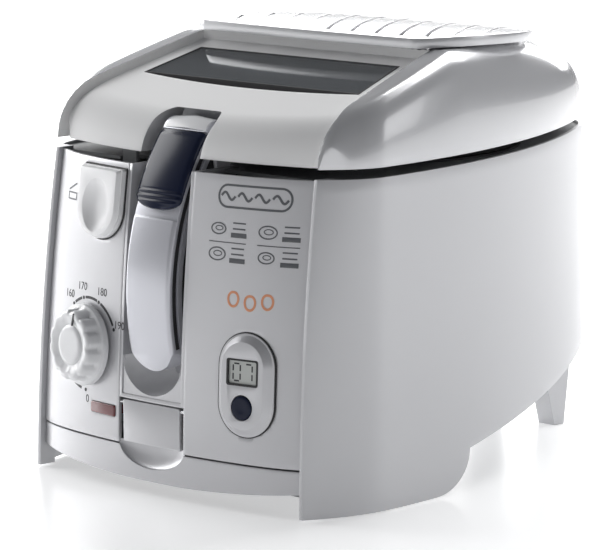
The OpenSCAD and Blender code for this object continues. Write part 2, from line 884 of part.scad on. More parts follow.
timer_out = 5;
display_up = 8;
timer_button_up = -13;
timer_button_travel = 1;
module timer_bezel() {
    color("whitesmoke") in_place() on_face(timer_x, timer_z, 0)
        difference() {
            union() {
                translate([0, 0, -7])
                    linear_extrude(8.2)
                        oval(timer_w, timer_h);
                linear_extrude(timer_out)
                    oval(timer_w - 10, timer_h - 10);
            }
            translate([0, 0, -8])
                linear_extrude(timer_out + 5)
                    oval(timer_w - 13, timer_h - 13);
            translate([0, display_up, -8])
                linear_extrude(20)
                    square([22, 15.5], center = true);
            translate([0, timer_button_up, -8])
                cylinder(r = timer_button_r + 0.4, h = 20);
        }
}
module timer_display() {
    color("silver") in_place() on_face(timer_x, timer_z, timer_out - 2.6)
        translate([0, display_up, 0])
            linear_extrude(1.8)
                square([21.7, 15.2], center = true);
}
module timer_button() {
    color("midnightblue") in_place() on_face(timer_x, timer_z, timer_out - 5)
        translate([0, timer_button_up, 0])
            union() {
                cylinder(r = timer_button_r, h = 6);
                cylinder(r = timer_button_r + 1.5, h = 1.4);
            }
}
module timer_board() {
    color("seagreen") in_place() on_face(timer_x, timer_z, -4.5)
        linear_extrude(1.6)
            oval(timer_w - 14, timer_h - 14);
}
module timer_battery() {
    color("silver") in_place() on_face(timer_x, timer_z, -4.6 - 3.2)
        translate([0, 4, 0])
            cylinder(r = 10, h = 3.2);
}

// --- lid button with its catch
button_out = 3;
button_deep = 9;
catch_in = 6;
module release_button() {
    color("white") in_place() on_face(button_x, button_z, button_out - button_deep - wall)
        difference() {
            union() {
                linear_extrude(button_deep + wall)
                    button_shape(0);
                // catch bar that reaches up behind the panel
                translate([-8, 0, -catch_in])
                    cube([16, body_h - 4 - button_z, 3]);
                translate([-8, 0, -catch_in])
                    cube([16, 4, catch_in + 3]);
            }
            translate([0, -2, button_deep + wall - 2.2])
                linear_extrude(10)
                    oval(26, 34);
            translate([0, -2, -1])
                linear_extrude(button_deep + wall - 3.5)
                    difference() {
                        square([button_w - 12, button_h - 14], center = true);
                        translate([-8, 1.9])
                            square([16, 4.2]);
                    }
        }
}
spring_r = 4;
module button_spring() {
    color("silver") in_place() on_face(button_x, button_z, button_out - button_deep - wall - 9)
        translate([0, -9, 0])
            difference() {
                cylinder(r = spring_r, h = 16 - button_travel - 0.5);
                translate([0, 0, -1])
                    cylinder(r = spring_r - 1, h = 30);
            }
}

// --- lid
lid_z = body_h + lid_gap;
lid_front = front_lean + 0.8;
lid_arc_y = lid_front + lid_front_r;
lid_arc_z = lid_z - 1.5;
peak_z = body_h + lid_rise;
slope_from = lid_arc_y - lid_front_r * sin(lid_slope);
slope_z = lid_arc_z + lid_front_r * cos(lid_slope);
peak_y = slope_from + (peak_z - slope_z) / tan(lid_slope);
tail_drop = 20;
lid_c = 200;

// height of the lid along the middle, for a lid that is d smaller all round
function lid_bulge(x) = bulge_top * max(0, 1 - pow(x / corner_x(body_h), 2));
function spine(y, d, b = 0) = y <= lid_front + d - b + 0.001 ? lid_arc_z - b * tan(lid_slope)
    : y < slope_from - b ? lid_arc_z - b * tan(lid_slope) + sqrt(max(0, pow(lid_front_r - d, 2) - pow(lid_arc_y - b - y, 2)))
    : y < peak_y ? slope_z + (y - slope_from) * tan(lid_slope) - d / cos(lid_slope)
    : peak_z - tail_drop * pow((y - peak_y) / (rear_y - peak_y), 2.2) - d;
// shoulder: how much of the height is left at e inside the edge
shoulder_w = 30;
function shoulder(e) = e >= shoulder_w ? 1 : pow(1 - pow(1 - max(0, e) / shoulder_w, 2.6), 1 / 2.6);
lid_steps = [0, 0.012, 0.035, 0.075, 0.13, 0.21, 0.34, 0.6];
function lid_point(p, s, d) = let (
    x = p[0] * (1 - s),
    y = p[1] + (lid_c - p[1]) * s,
    e = s * norm([p[0], p[1] - lid_c]),
    top = spine(y, d, lid_bulge(x)),
    side = p[1] <= lid_front + d + 0.01 ? 1 : shoulder(e * max(0.6, abs(p[0]) / corner_x(body_h))))
    [x, y, lid_z - 0.5 + max(0.5 + s, (top - lid_z) * side)];
function front_row(d, n) = [for (i = [1:n - 1]) let (x = (corner_x(body_h) - d) * (2 * i / n - 1))
    [x, lid_front + d - lid_bulge(x)]];
function lid_outline(d) = concat(outline(body_h, d, lid_front + d), front_row(d, 12));

// a dome over the lid's outline; its lower face is at z0
module dome(d, z0) {
    edge = lid_outline(d);
    n = len(edge);
    rings = concat([[for (p = edge) [p[0], p[1], z0]]],
        [for (s = lid_steps) [for (p = edge) lid_point(p, s, d)]]);
    k = len(rings);
    points = concat([for (r = rings) for (p = r) p], [[0, lid_c, spine(lid_c, d)], [0, lid_c, z0]]);
    sides = [for (j = [0:k - 2]) for (i = [0:n - 1]) let (a = j * n + i, b = j * n + (i + 1) % n)
        each [[a, a + n, b + n], [a, b + n, b]]];
    caps = [for (i = [0:n - 1]) let (b = (i + 1) % n) each [[i, b, k * n + 1], [(k - 1) * n + i, k * n, (k - 1) * n + b]]];
    polyhedron(points, concat(sides, caps));
}

// plan of the middle band, from its front to the filter cover
band_front_half = corner_x(body_h) - 0.6;
band_rear_half = 99;
band_rear = peak_y - 1;
module band_plan(grow) {
    translate([0, 0, lid_z - 30])
        linear_extrude(140)
            polygon([[-band_front_half - grow, -60], [band_front_half + grow, -60],
                [band_front_half + grow, slope_from - 12], [band_rear_half + 9 + grow, 78],
                [band_rear_half + grow, band_rear + grow], [-band_rear_half - grow, band_rear + grow],
                [-band_rear_half - 9 - grow, 78], [-band_front_half - grow, slope_from - 12]]);
}
module band_cut(drop, grow) {
    difference() {
        band_plan(grow);
        dome(drop, lid_z - 40);
    }
}

// recess in the lid's front for the top of the handle
recess_back = pivot_y + 13;
recess_top = pivot_z + 15;
module lid_recess(grow) {
    translate([-channel_half - grow, -20, lid_z - 30])
        cube([2 * (channel_half + grow), recess_back + 20 + grow, recess_top - lid_z + 30 + grow]);
}

window_front = 74;
function band_surface(y) = spine(y, band_drop);
module window_shape(grow) {
    front = window_w / 2 + grow;
    rear = front - 7;
    linear_extrude(400)
        polygon([[-front, window_front - grow], [front, window_front - grow],
            [rear, window_front + window_l + grow], [-rear, window_front + window_l + grow]]);
}
module on_slope(depth, t) {
    // a slab that follows the band, its top face depth below the band
    across(2 * body_w)
        polygon([[50, band_surface(50) - depth - t], [band_rear + 10, band_surface(50) - depth - t + (band_rear - 40) * tan(lid_slope)],
            [band_rear + 10, band_surface(50) - depth + (band_rear - 40) * tan(lid_slope)], [50, band_surface(50) - depth]]);
}

cover_c = peak_y + 41;
cover_z = peak_z + 0.3;
filter_hole_r = 62;
hinge_y = rear_y - 11;
hinge_z = lid_z + 7;
hinge_x = 12;
hinge_pin_r = 2.5;

module lid_shell() {
    color("whitesmoke") in_place() difference() {
        dome(0, lid_z);
        difference() {
            dome(wall, lid_z - 1);
            band_cut(band_drop + wall, wall);
            lid_recess(wall);
        }
        band_cut(band_drop, 0);
        lid_recess(0);
        window_shape(0);
        translate([0, filter_c, 0])
            cylinder(r = filter_hole_r, h = 400, $fn = 72);
        for (s = [-1, 1])
            hinge_slot(s);
    }
}
filter_c = cover_c + 20;
module hinge_slot(s) {
    translate([s * hinge_x - 4.6, hinge_y - 12, lid_z - 20])
        cube([9.2, 60, 20 + hinge_z - lid_z + 6]);
}
module lid_hinge_pin() {
    color("silver") in_place()
        across(2 * hinge_x + 12)
            translate([hinge_y, hinge_z])
                circle(r = hinge_pin_r);
}
module hinge_bracket() {
    color("gainsboro") in_place() difference() {
        for (s = [-1, 1])
            union() {
                translate([s * hinge_x, 0, 0])
                    across(8)
                        polygon([[hinge_y - 5, deck_z + deck_t], [hinge_y + 3, deck_z + deck_t], [hinge_y + 4.5, hinge_z], [hinge_y - 4.5, hinge_z]]);
                translate([s * hinge_x, 0, 0])
                    across(8)
                        translate([hinge_y, hinge_z])
                            circle(r = 4.5);
            }
        across(2 * body_w)
            translate([hinge_y, hinge_z])
                circle(r = hinge_pin_r + run_fit);
    }
}

// --- filter cover with louvre slots
module cover_outline(grow) {
    intersection() {
        translate([0, cover_c])
            circle(r = cover_r + grow, $fn = 96);
        translate([-200, band_rear - 8 - grow])
            square([400, 400]);
    }
}
function cover_line(up) = [for (i = [0:16]) let (y = band_rear - 10 + (cover_c + cover_r + 12 - band_rear) * i / 16)
    [y, (y < peak_y ? spine(peak_y, 0) : spine(y, 0)) + up]];
function reverse(list) = [for (i = [len(list) - 1:-1:0]) list[i]];
module filter_cover() {
    color("whitesmoke") in_place() difference() {
        intersection() {
            translate([0, 0, lid_z])
                linear_extrude(120)
                    cover_outline(0);
            across(2 * body_w)
                polygon(concat(cover_line(0.3), reverse(cover_line(0.3 + cover_t))));
        }
        for (i = [0:slots - 1])
            slot_curve(slot_first + slot_pitch * i);
    }
}
// a thin slot that sweeps back and to the left across the plate
slot_first = 12.3;
slot_pitch = 20.8;
slot_w = 1.5;
slot_from = 130;
function slot_x(lane, y) = lane - 0.8 * (y - slot_from) + 0.00077 * pow(y - slot_from, 2);
module slot_curve(lane) {
    rows = [0:14];
    y0 = band_rear - 2;
    step = 16;
    translate([0, 0, lid_z])
        linear_extrude(120)
            intersection() {
                polygon(concat([for (j = rows) [slot_x(lane, y0 + step * j) - slot_w / 2, y0 + step * j]],
                    [for (j = [14:-1:0]) [slot_x(lane, y0 + step * j) + slot_w / 2, y0 + step * j]]));
                translate([0, cover_c])
                    circle(r = cover_r - 9, $fn = 96);
            }
}

// --- inside of the lid
pan_z = lid_z + 0.5;
pan_t = 2;
pan_gap = 0.6;
notch_half = arm_w / 2 + 2;
module strap_notch() {
    translate([-notch_half, 0, lid_z - 40])
        cube([2 * notch_half, bowl_top_y - bowl_r + 12, 40 + lift + 6]);
}
module lid_inner_pan() {
    color("silver") in_place() difference() {
        union() {
            loft([for (z = [pan_z, pan_z + pan_t]) ring(z, wall + pan_gap, lid_front + band_drop + wall + 11)]);
            translate([0, bowl_top_y, pan_z - 5])
                cylinder(r = bowl_r - 3, h = 5.1, $fn = 96);
        }
        translate([0, bowl_top_y, pan_z - 6])
            cylinder(r = bowl_r - 5, h = 6, $fn = 96);
        lid_recess(wall + fit_gap);
        strap_notch();
        translate([-window_w / 2 + 10, window_front + 3, 0])
            cube([window_w - 20, window_l - 4, 400]);
        translate([0, filter_c, 0])
            cylinder(r = filter_hole_r - 16, h = 400, $fn = 72);
        for (s = [-1, 1])
            hinge_slot(s);
    }
}

gasket_z = deck_z + deck_t + 1.2;
module lid_gasket() {
    color("dimgray") in_place() difference() {
        translate([0, bowl_top_y, gasket_z + 0.3])
            difference() {
                cylinder(r = bowl_r + 4, h = pan_z - gasket_z - 0.4, $fn = 96);
                translate([0, 0, -1])
                    cylinder(r = bowl_r - 2.7, h = 20, $fn = 96);
            }
        strap_notch();
    }
}

module window() {
    color("slategray") in_place() intersection() {
        window_shape(-1.2);
        on_slope(0.6, window_t);
    }
}
module window_gasket() {
    color("dimgray") in_place() intersection() {
        difference() {
            window_shape(-0.1);
            window_shape(-1.1);
        }
        on_slope(0.2, window_t + 1.2);
    }
}

striker_y = face_y(button_x, button_z) + 22;
module lid_striker() {
    color("silver") in_place()
        translate([button_x - 6, striker_y, body_h - 14])
            cube([12, 2.5, pan_z - body_h + 14 - 0.05]);
}

filter_t = 5;
module grease_filter() {
    color("whitesmoke") in_place()
        translate([0, filter_c, pan_z + pan_t + 0.1])
            cylinder(r = filter_hole_r - 2, h = filter_t, $fn = 72);
}
module charcoal_filter() {
    color("dimgray") in_place()
        translate([0, filter_c, pan_z + pan_t + 0.2 + filter_t])
            cylinder(r = filter_hole_r - 2, h = filter_t * 2, $fn = 72);
}

// --- mains entry
cord_x = -40;
cord_z = 120;
gland_r = 7;
cord_r = 3.5;
gland_y = rear_y - 16;
module cord_inlet() {
    color("dimgray") in_place() difference() {
        union() {
            along_y(cord_x, cord_z, gland_y - 8, gland_y + 13)
                circle(r = gland_r);
        }
        along_y(cord_x, cord_z, gland_y - 12, gland_y + 30)
            circle(r = cord_r);
    }
}
module terminal_block() {
    color("ivory") in_place() difference() {
        translate([-16, rear_y - 40, 100])
            cube([32, 16, 12]);
        for (i = [-1:1])
            translate([i * 10, rear_y - 50, 106])
                rotate([-90, 0, 0])
                    cylinder(r = 2, h = 60);
    }
}

side_shell();
front_panel();
front_skirt();
base_plate();
rim_deck();
handle_channel();
bowl();
heating_element();
thermostat();
thermostat_bulb();
thermal_cutout();
indicator_lens();
neon_lamp();
timer_bezel();
timer_display();
timer_board();
timer_battery();
gear_motor();
motor_bracket();
drive_bush();
drain_tube();
drain_cap();
button_spring();
rubber_feet();
base_screws();
hinge_bracket();
cord_inlet();
terminal_block();
lid_shell();
lid_inner_pan();
lid_gasket();
window();
window_gasket();
lid_striker();
grease_filter();
charcoal_filter();
lid_hinge_pin();
filter_cover();
release_button();
temperature_knob();
knob_shaft();
timer_button();
drain_door();
door_pin();
handle();
handle_pivot_pin();
handle_slider();
slider_spring();
basket_carrier();
basket();
drive_gear();
drive_shaft();
motor_pinion();
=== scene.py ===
import bpy
import bmesh
import json
import math
from mathutils import Matrix, Vector


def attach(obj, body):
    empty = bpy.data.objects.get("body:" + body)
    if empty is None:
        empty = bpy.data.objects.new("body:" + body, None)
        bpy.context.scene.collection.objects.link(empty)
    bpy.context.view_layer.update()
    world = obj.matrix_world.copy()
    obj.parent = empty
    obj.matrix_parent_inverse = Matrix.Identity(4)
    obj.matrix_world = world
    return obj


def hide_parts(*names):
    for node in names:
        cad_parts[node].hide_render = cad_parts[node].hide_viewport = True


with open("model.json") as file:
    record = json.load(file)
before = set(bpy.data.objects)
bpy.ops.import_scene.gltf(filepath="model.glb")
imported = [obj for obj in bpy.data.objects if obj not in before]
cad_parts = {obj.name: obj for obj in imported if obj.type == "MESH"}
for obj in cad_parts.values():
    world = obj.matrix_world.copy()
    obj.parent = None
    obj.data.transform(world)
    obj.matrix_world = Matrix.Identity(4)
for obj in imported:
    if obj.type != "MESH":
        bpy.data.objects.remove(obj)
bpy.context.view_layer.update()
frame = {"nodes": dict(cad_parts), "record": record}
scene = bpy.context.scene
print("frame loaded")

# Sizes here are in millimetres from the front corners' feet; place() turns them into the row frame.
body = dict(width=270, corner=235.6, taper=5.8, height=201, wideY=56, sideR=477, rearR=67,
            lean=18, bulgeLow=12.5, bulgeTop=18, wall=2.6, lip=12, reach=24.7)
lid = dict(gap=6, frontR=39, slope=16.5, rise=67, drop=5.5, tail=20, centre=200, shoulder=30,
           windowL=43, windowHalf=94, windowFront=74, windowBow=7, filterR=62, coverR=108, coverT=6)
arm = dict(width=38, radius=165, thick=20, arcY=150.9, arcZ=121, low=77, pivotA=38.5,
           sideGap=7, sliderLow=19.3, sliderHigh=37, edge=2.6, pinR=3.06)
spots = dict(knob=(-61, 86), lens=(-44, 48.3), timer=(77, 77.5), buttonTop=196, buttonW=43, buttonH=44,
             doorTop=57, panelBottom=30, skirtBottom=9)
rearReach = math.sqrt((body["sideR"] - body["rearR"]) ** 2 - (body["sideR"] - body["width"] / 2) ** 2)
rearC = rearReach + body["wideY"]
rearY = rearC + body["rearR"]
midY = (rearY - body["reach"]) / 2
blendA = math.atan2(rearC - body["wideY"], body["sideR"] - body["width"] / 2)
channelHalf = arm["width"] / 2 + arm["sideGap"]
channelFloorR = arm["radius"] - arm["thick"] - 5
lidZ = body["height"] + lid["gap"]
lidFront = body["lean"] + 0.8
arcY = lidFront + lid["frontR"]
arcZ = lidZ - 1.5
peakZ = body["height"] + lid["rise"]
slope = math.radians(lid["slope"])
slopeFrom = arcY - lid["frontR"] * math.sin(slope)
slopeZ = arcZ + lid["frontR"] * math.cos(slope)
peakY = slopeFrom + (peakZ - slopeZ) / math.tan(slope)
bandRear = peakY - 1
coverC = peakY + 41
coverFront = bandRear - 8
filterC = coverC + 20
pivotArm = arm["radius"] - arm["thick"] / 2
pivotY = arm["arcY"] - pivotArm * math.cos(math.radians(arm["pivotA"]))
pivotZ = arm["arcZ"] + pivotArm * math.sin(math.radians(arm["pivotA"]))
handleLowA = -math.degrees(math.asin((arm["arcZ"] - arm["low"]) / arm["radius"]))
buttonSpot = (-channelHalf - body["wall"] - spots["buttonW"] / 2 - 2, spots["buttonTop"] - spots["buttonH"] / 2)


# outlines
def arc(rx, ry, a0, a1, n, cx=0, cy=0):
    turns = [a0 + (a1 - a0) * i / n for i in range(n + 1)]
    return [(cx + rx * math.cos(a), cy + ry * math.sin(a)) for a in turns]


def circleShape(r, n=64, cx=0, cy=0, stretch=1):
    return arc(r, stretch * r, 0, 2 * math.pi, n, cx, cy)[:-1]


def roundedBox(w, h, r, n=8, cx=0, cy=0):
    out = []
    for k, (sx, sy) in enumerate(((1, 1), (-1, 1), (-1, -1), (1, -1))):
        start = math.pi / 2 * k
        out += arc(r, r, start, start + math.pi / 2, n, cx + sx * (w / 2 - r), cy + sy * (h / 2 - r))
    return out


def ovalShape(w, h, n=24):
    # a slot standing up, with full round ends
    high = (h - w) / 2
    return arc(w / 2, w / 2, 0, math.pi, n, 0, high) + arc(w / 2, w / 2, math.pi, 2 * math.pi, n, 0, -high)


def mirrored(points):
    return [(-x, y) for x, y in reversed(points)]


def scaled(shape, kx, ky):
    return [(x * kx, y * ky) for x, y in shape]


def smoothStep(t):
    t = min(1, max(0, t))
    return t * t * (3 - 2 * t)


# shape of the front and the body's outline at a height
def share(z):
    return z / body["height"]


def cornerX(z):
    return body["corner"] / 2 - body["taper"] / 2 * max(0, share(z)) ** 1.5


def cornerY(z):
    return body["lean"] * (0.22 * share(z) + 0.78 * share(z) ** 2)


def faceY(x, z):
    bulge = body["bulgeLow"] + (body["bulgeTop"] - body["bulgeLow"]) * share(z)
    across = x / cornerX(z)
    return cornerY(z) - bulge * (1 - across ** 2) + lid["drop"] * across ** 8


outlineSteps = dict(front=14, side=30, rear=22)


def halfOutline(z, d, frontY):
    # front corner, long side arc and rear arc on the right, set in by d
    x0 = cornerX(z) - d
    w = body["width"] / 2 - d
    out = []
    for i in range(outlineSteps["front"]):
        s = i / outlineSteps["front"]
        out.append((x0 + (w - x0) * (1 - (1 - s) ** 2), frontY + (body["wideY"] - frontY) * s))
    sideR, rearR = body["sideR"] - d, body["rearR"] - d
    sideX = body["width"] / 2 - body["sideR"]
    out += arc(sideR, sideR, 0, blendA, outlineSteps["side"], sideX, body["wideY"])[:-1]
    return out + arc(rearR, rearR, blendA, math.pi / 2, outlineSteps["rear"], 0, rearC)[:-1]


def outline(z, d, frontY):
    half = halfOutline(z, d, frontY)
    return half + [(0, rearY - d)] + mirrored(half)


def place(p):
    return (p[0] * 0.001, (p[1] - midY) * 0.001, p[2] * 0.001)


# mesh helpers
def makeObject(name, points, faces, material=None):
    mesh = bpy.data.meshes.new(name)
    mesh.from_pydata([place(p) for p in points], [], faces)
    mesh.update()
    thing = bpy.data.objects.new(name, mesh)
    scene.collection.objects.link(thing)
    if material:
        mesh.materials.append(material)
    work = bmesh.new()
    work.from_mesh(mesh)
    bmesh.ops.remove_doubles(work, verts=work.verts, dist=1e-6)
    bmesh.ops.recalc_face_normals(work, faces=work.faces)
    work.to_mesh(mesh)
    work.free()
    return thing


def stitch(rings, n, closed=True, base=0):
    # quads between rings of n points that follow each other in the point list
    faces = []
    for j in range(rings - 1):
        for i in range(n if closed else n - 1):
            a, b = base + j * n + i, base + j * n + (i + 1) % n
            faces.append((a, b, b + n, a + n))
    return faces


def loft(name, rings, material=None, closed=True):
    n = len(rings[0])
    points = [p for ring in rings for p in ring]
    faces = stitch(len(rings), n, closed)
    if closed:
        for base in (0, (len(rings) - 1) * n):
            points.append([sum(points[base + i][k] for i in range(n)) / n for k in range(3)])
            top = len(points) - 1
            faces += [(base + i, base + (i + 1) % n, top) for i in range(n)]
    return makeObject(name, points, faces, material)


def sheetOf(name, grid, depth, material=None):
    # a plate from a grid of front points, thickened straight back by depth
    rows, cols = len(grid), len(grid[0])
    n = rows * cols
    front = [p for row in grid for p in row]
    points = front + [(p[0], p[1] + depth, p[2]) for p in front]
    faces = []
    for j in range(rows - 1):
        for i in range(cols - 1):
            a = j * cols + i
            faces.append((a, a + 1, a + cols + 1, a + cols))
            faces.append((a + n, a + cols + n, a + cols + 1 + n, a + 1 + n))
    rim = [(0, i) for i in range(cols - 1)] + [(j, cols - 1) for j in range(rows - 1)]
    rim += [(rows - 1, i) for i in range(cols - 1, 0, -1)] + [(j, 0) for j in range(rows - 1, 0, -1)]
    for k, (j, i) in enumerate(rim):
        a = j * cols + i
        j2, i2 = rim[(k + 1) % len(rim)]
        b = j2 * cols + i2
        faces.append((a, a + n, b + n, b))
    return makeObject(name, points, faces, material)


def barOf(name, ends, material=None):
    # a closed bar between two equal outlines, given one after the other
    n = len(ends) // 2
    faces = stitch(2, n)
    faces += [tuple(range(n)), tuple(range(2 * n - 1, n - 1, -1))]
    return makeObject(name, ends, faces, material)


def prism(name, shape, low, high, material=None, axis="z"):
    # axis names the direction that the bar runs along
    turns = {"z": lambda u, v, w: (u, v, w), "x": lambda u, v, w: (w, u, v), "y": lambda u, v, w: (u, w, v)}
    turn = turns[axis]
    return barOf(name, [turn(u, v, w) for w in (low, high) for u, v in shape], material)


def shapedMesh(thing):
    # the mesh that the modifiers on a piece make
    return bpy.data.meshes.new_from_object(thing.evaluated_get(bpy.context.evaluated_depsgraph_get()))


def thicken(thing, thickness, offset=0):
    thick = thing.modifiers.new("thick", "SOLIDIFY")
    thick.thickness = thickness * 0.001
    thick.offset = offset
    thing.data = shapedMesh(thing)
    thing.modifiers.clear()


def combine(thing, kind, others):
    for other in others:
        step = thing.modifiers.new("step", "BOOLEAN")
        step.operation = kind
        step.solver = "MANIFOLD"
        step.object = other
        bpy.context.view_layer.update()
        solid = shapedMesh(thing)
        thing.modifiers.remove(step)
        if len(solid.vertices) < 3:
            print("boolean left nothing on", thing.name, "with", other.name)
            continue
        thing.data = solid
        bpy.data.objects.remove(other)
    return thing


def cut(thing, *others):
    return combine(thing, "DIFFERENCE", others)


def join(thing, *others):
    return combine(thing, "UNION", others)


def soften(thing, width=0.6, angle=32, segments=2):
    # small moulded radii along the sharp edges, then smooth shading between them
    work = bmesh.new()
    work.from_mesh(thing.data)
    bmesh.ops.remove_doubles(work, verts=work.verts, dist=2e-5)
    bmesh.ops.dissolve_degenerate(work, edges=work.edges, dist=2e-5)
    work.to_mesh(thing.data)
    work.free()
    if width:
        edge = thing.modifiers.new("edge", "BEVEL")
        edge.width = width * 0.001
        edge.segments = segments
        edge.limit_method = "ANGLE"
        edge.angle_limit = math.radians(angle)
        edge.use_clamp_overlap = True
        edge.harden_normals = False
        thing.data = shapedMesh(thing)
        thing.modifiers.clear()
    thing.data.shade_smooth()
    thing.data.set_sharp_from_angle(angle=math.radians(angle + 8))


def finishPiece(thing, bodyName, slotName, *nodes):
    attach(thing, bodyName)
    if nodes:
        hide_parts(*nodes)


# materials
def socket(group, name, direction, kind, default=None):
    made = group.interface.new_socket(name=name, in_out=direction, socket_type=kind)
    if default is not None:
        made.default_value = default


def mathNode(nodes, operation, values):
    # values are the constants by socket number
    made = nodes.new("ShaderNodeMath")
    made.operation = operation
    for k, value in values.items():
        made.inputs[k].default_value = value
    return made


def mouldedSurfaceGroup():
    # slow colour drift, fine grain and a slight waviness for moulded, painted and cast surfaces
    group = bpy.data.node_groups.new("mouldedSurface", "ShaderNodeTree")
    socket(group, "Color", "INPUT", "NodeSocketColor", (0.8, 0.8, 0.8, 1))
    socket(group, "Variation", "INPUT", "NodeSocketFloat", 0.03)
    socket(group, "GrainScale", "INPUT", "NodeSocketFloat", 2500)
    socket(group, "Roughness", "INPUT", "NodeSocketFloat", 0.35)
    socket(group, "RoughnessSpread", "INPUT", "NodeSocketFloat", 0.08)
    socket(group, "Color", "OUTPUT", "NodeSocketColor")
    socket(group, "Roughness", "OUTPUT", "NodeSocketFloat")
    socket(group, "Height", "OUTPUT", "NodeSocketFloat")
    nodes, links = group.nodes, group.links
    start = nodes.new("NodeGroupInput")
    end = nodes.new("NodeGroupOutput")
    where = nodes.new("ShaderNodeTexCoord")
    drift = nodes.new("ShaderNodeTexNoise")
    drift.inputs["Scale"].default_value = 14
    drift.inputs["Detail"].default_value = 3
    grain = nodes.new("ShaderNodeTexNoise")
    grain.inputs["Detail"].default_value = 4
    grain.inputs["Roughness"].default_value = 0.6
    links.new(where.outputs["Object"], drift.inputs["Vector"])
    links.new(where.outputs["Object"], grain.inputs["Vector"])
    links.new(start.outputs["GrainScale"], grain.inputs["Scale"])
    centred = mathNode(nodes, "SUBTRACT", {1: 0.5})
    amount = mathNode(nodes, "MULTIPLY_ADD", {2: 1.0})
    links.new(drift.outputs["Fac"], centred.inputs[0])
    links.new(centred.outputs[0], amount.inputs[0])
    links.new(start.outputs["Variation"], amount.inputs[1])
    tint = nodes.new("ShaderNodeVectorMath")
    tint.operation = "SCALE"
    links.new(start.outputs["Color"], tint.inputs[0])
    links.new(amount.outputs[0], tint.inputs["Scale"])
    links.new(tint.outputs[0], end.inputs["Color"])
    spread = mathNode(nodes, "SUBTRACT", {1: 0.5})
    rough = mathNode(nodes, "MULTIPLY_ADD", {})
    rough.use_clamp = True
    links.new(grain.outputs["Fac"], spread.inputs[0])
    links.new(spread.outputs[0], rough.inputs[0])
    links.new(start.outputs["RoughnessSpread"], rough.inputs[1])
    links.new(start.outputs["Roughness"], rough.inputs[2])
    links.new(rough.outputs[0], end.inputs["Roughness"])
    links.new(grain.outputs["Fac"], end.inputs["Height"])
    return group


mouldedSurface = mouldedSurfaceGroup()


def finishMaterial(name, color, rough=0.35, metallic=0.0, coat=0.0, coatRough=0.08, variation=0.04, grain=2200,
                   spread=0.08, depth=0.03, transmission=0.0, ior=1.5, specular=0.5):
    material = bpy.data.materials.new(name)
    material.use_nodes = True
    nodes, links = material.node_tree.nodes, material.node_tree.links
    shader = nodes["Principled BSDF"]
    surface = nodes.new("ShaderNodeGroup")
    surface.node_tree = mouldedSurface
    surface.inputs["Color"].default_value = (*color, 1)
    surface.inputs["Variation"].default_value = variation
    surface.inputs["GrainScale"].default_value = grain
    surface.inputs["Roughness"].default_value = rough
    surface.inputs["RoughnessSpread"].default_value = spread
    bump = nodes.new("ShaderNodeBump")
    bump.inputs["Strength"].default_value = 0.35
    bump.inputs["Distance"].default_value = depth * 0.001
    links.new(surface.outputs["Height"], bump.inputs["Height"])
    links.new(surface.outputs["Color"], shader.inputs["Base Color"])
    links.new(surface.outputs["Roughness"], shader.inputs["Roughness"])
    links.new(bump.outputs["Normal"], shader.inputs["Normal"])
    shader.inputs["Metallic"].default_value = metallic
    shader.inputs["Coat Weight"].default_value = coat
    shader.inputs["Coat Roughness"].default_value = coatRough
    shader.inputs["IOR"].default_value = ior
    shader.inputs["Specular IOR Level"].default_value = specular
    shader.inputs["Transmission Weight"].default_value = transmission
    return material


pearlPanel = finishMaterial("pearlPanel", (0.62, 0.62, 0.64), 0.34, coat=0.3, coatRough=0.22, metallic=0.35)
pearlGloss = finishMaterial("pearlGloss", (0.62, 0.622, 0.64), 0.25, coat=0.7, coatRough=0.06, metallic=0.35,
                            depth=0.01)
pearlShell = finishMaterial("pearlShell", (0.60, 0.602, 0.62), 0.36, coat=0.3, coatRough=0.2, metallic=0.35)
whitePlastic = finishMaterial("whitePlastic", (0.83, 0.83, 0.84), 0.38, coat=0.2, coatRough=0.25)
knobPlastic = finishMaterial("knobPlastic", (0.74, 0.745, 0.76), 0.32, coat=0.5, coatRough=0.15)
lavenderPlastic = finishMaterial("lavenderPlastic", (0.60, 0.605, 0.65), 0.30, coat=0.4, coatRough=0.12,
                                 metallic=0.45)
navyPlastic = finishMaterial("navyPlastic", (0.009, 0.013, 0.034), 0.24, depth=0.008, specular=0.22)
greyPlastic = finishMaterial("greyPlastic", (0.27, 0.275, 0.285), 0.5, depth=0.06)
blackPlastic = finishMaterial("blackPlastic", (0.02, 0.02, 0.022), 0.5, depth=0.06)
printInk = finishMaterial("printInk", (0.03, 0.03, 0.035), 0.45, depth=0.005)
greyInk = finishMaterial("greyInk", (0.10, 0.105, 0.115), 0.45, depth=0.005)
orangeInk = finishMaterial("orangeInk", (0.70, 0.30, 0.16), 0.45, depth=0.005)
smokedPane = finishMaterial("smokedPane", (0.30, 0.32, 0.34), 0.05, transmission=0.75, ior=1.45, depth=0.002,
                            grain=60)
redLens = finishMaterial("redLens", (0.16, 0.03, 0.035), 0.18, coat=0.7, depth=0.02, grain=600)
displayFace = finishMaterial("displayFace", (0.50, 0.52, 0.50), 0.2, coat=0.6, depth=0.004)
boardLacquer = finishMaterial("boardLacquer", (0.02, 0.13, 0.05), 0.35, coat=0.5)
rubber = finishMaterial("rubber", (0.03, 0.03, 0.032), 0.75, depth=0.08, grain=1400)
nonStick = finishMaterial("nonStick", (0.04, 0.04, 0.045), 0.42, depth=0.08, grain=1800, variation=0.15)
brushedSteel = finishMaterial("brushedSteel", (0.52, 0.52, 0.53), 0.32, metallic=1.0, grain=900, spread=0.25)
chromeWire = finishMaterial("chromeWire", (0.72, 0.73, 0.74), 0.14, metallic=1.0, grain=400, depth=0.01)
pressedAluminium = finishMaterial("pressedAluminium", (0.66, 0.66, 0.67), 0.36, metallic=1.0, grain=700,
                                  spread=0.2)
turnedBrass = finishMaterial("turnedBrass", (0.60, 0.43, 0.18), 0.28, metallic=1.0, grain=800)
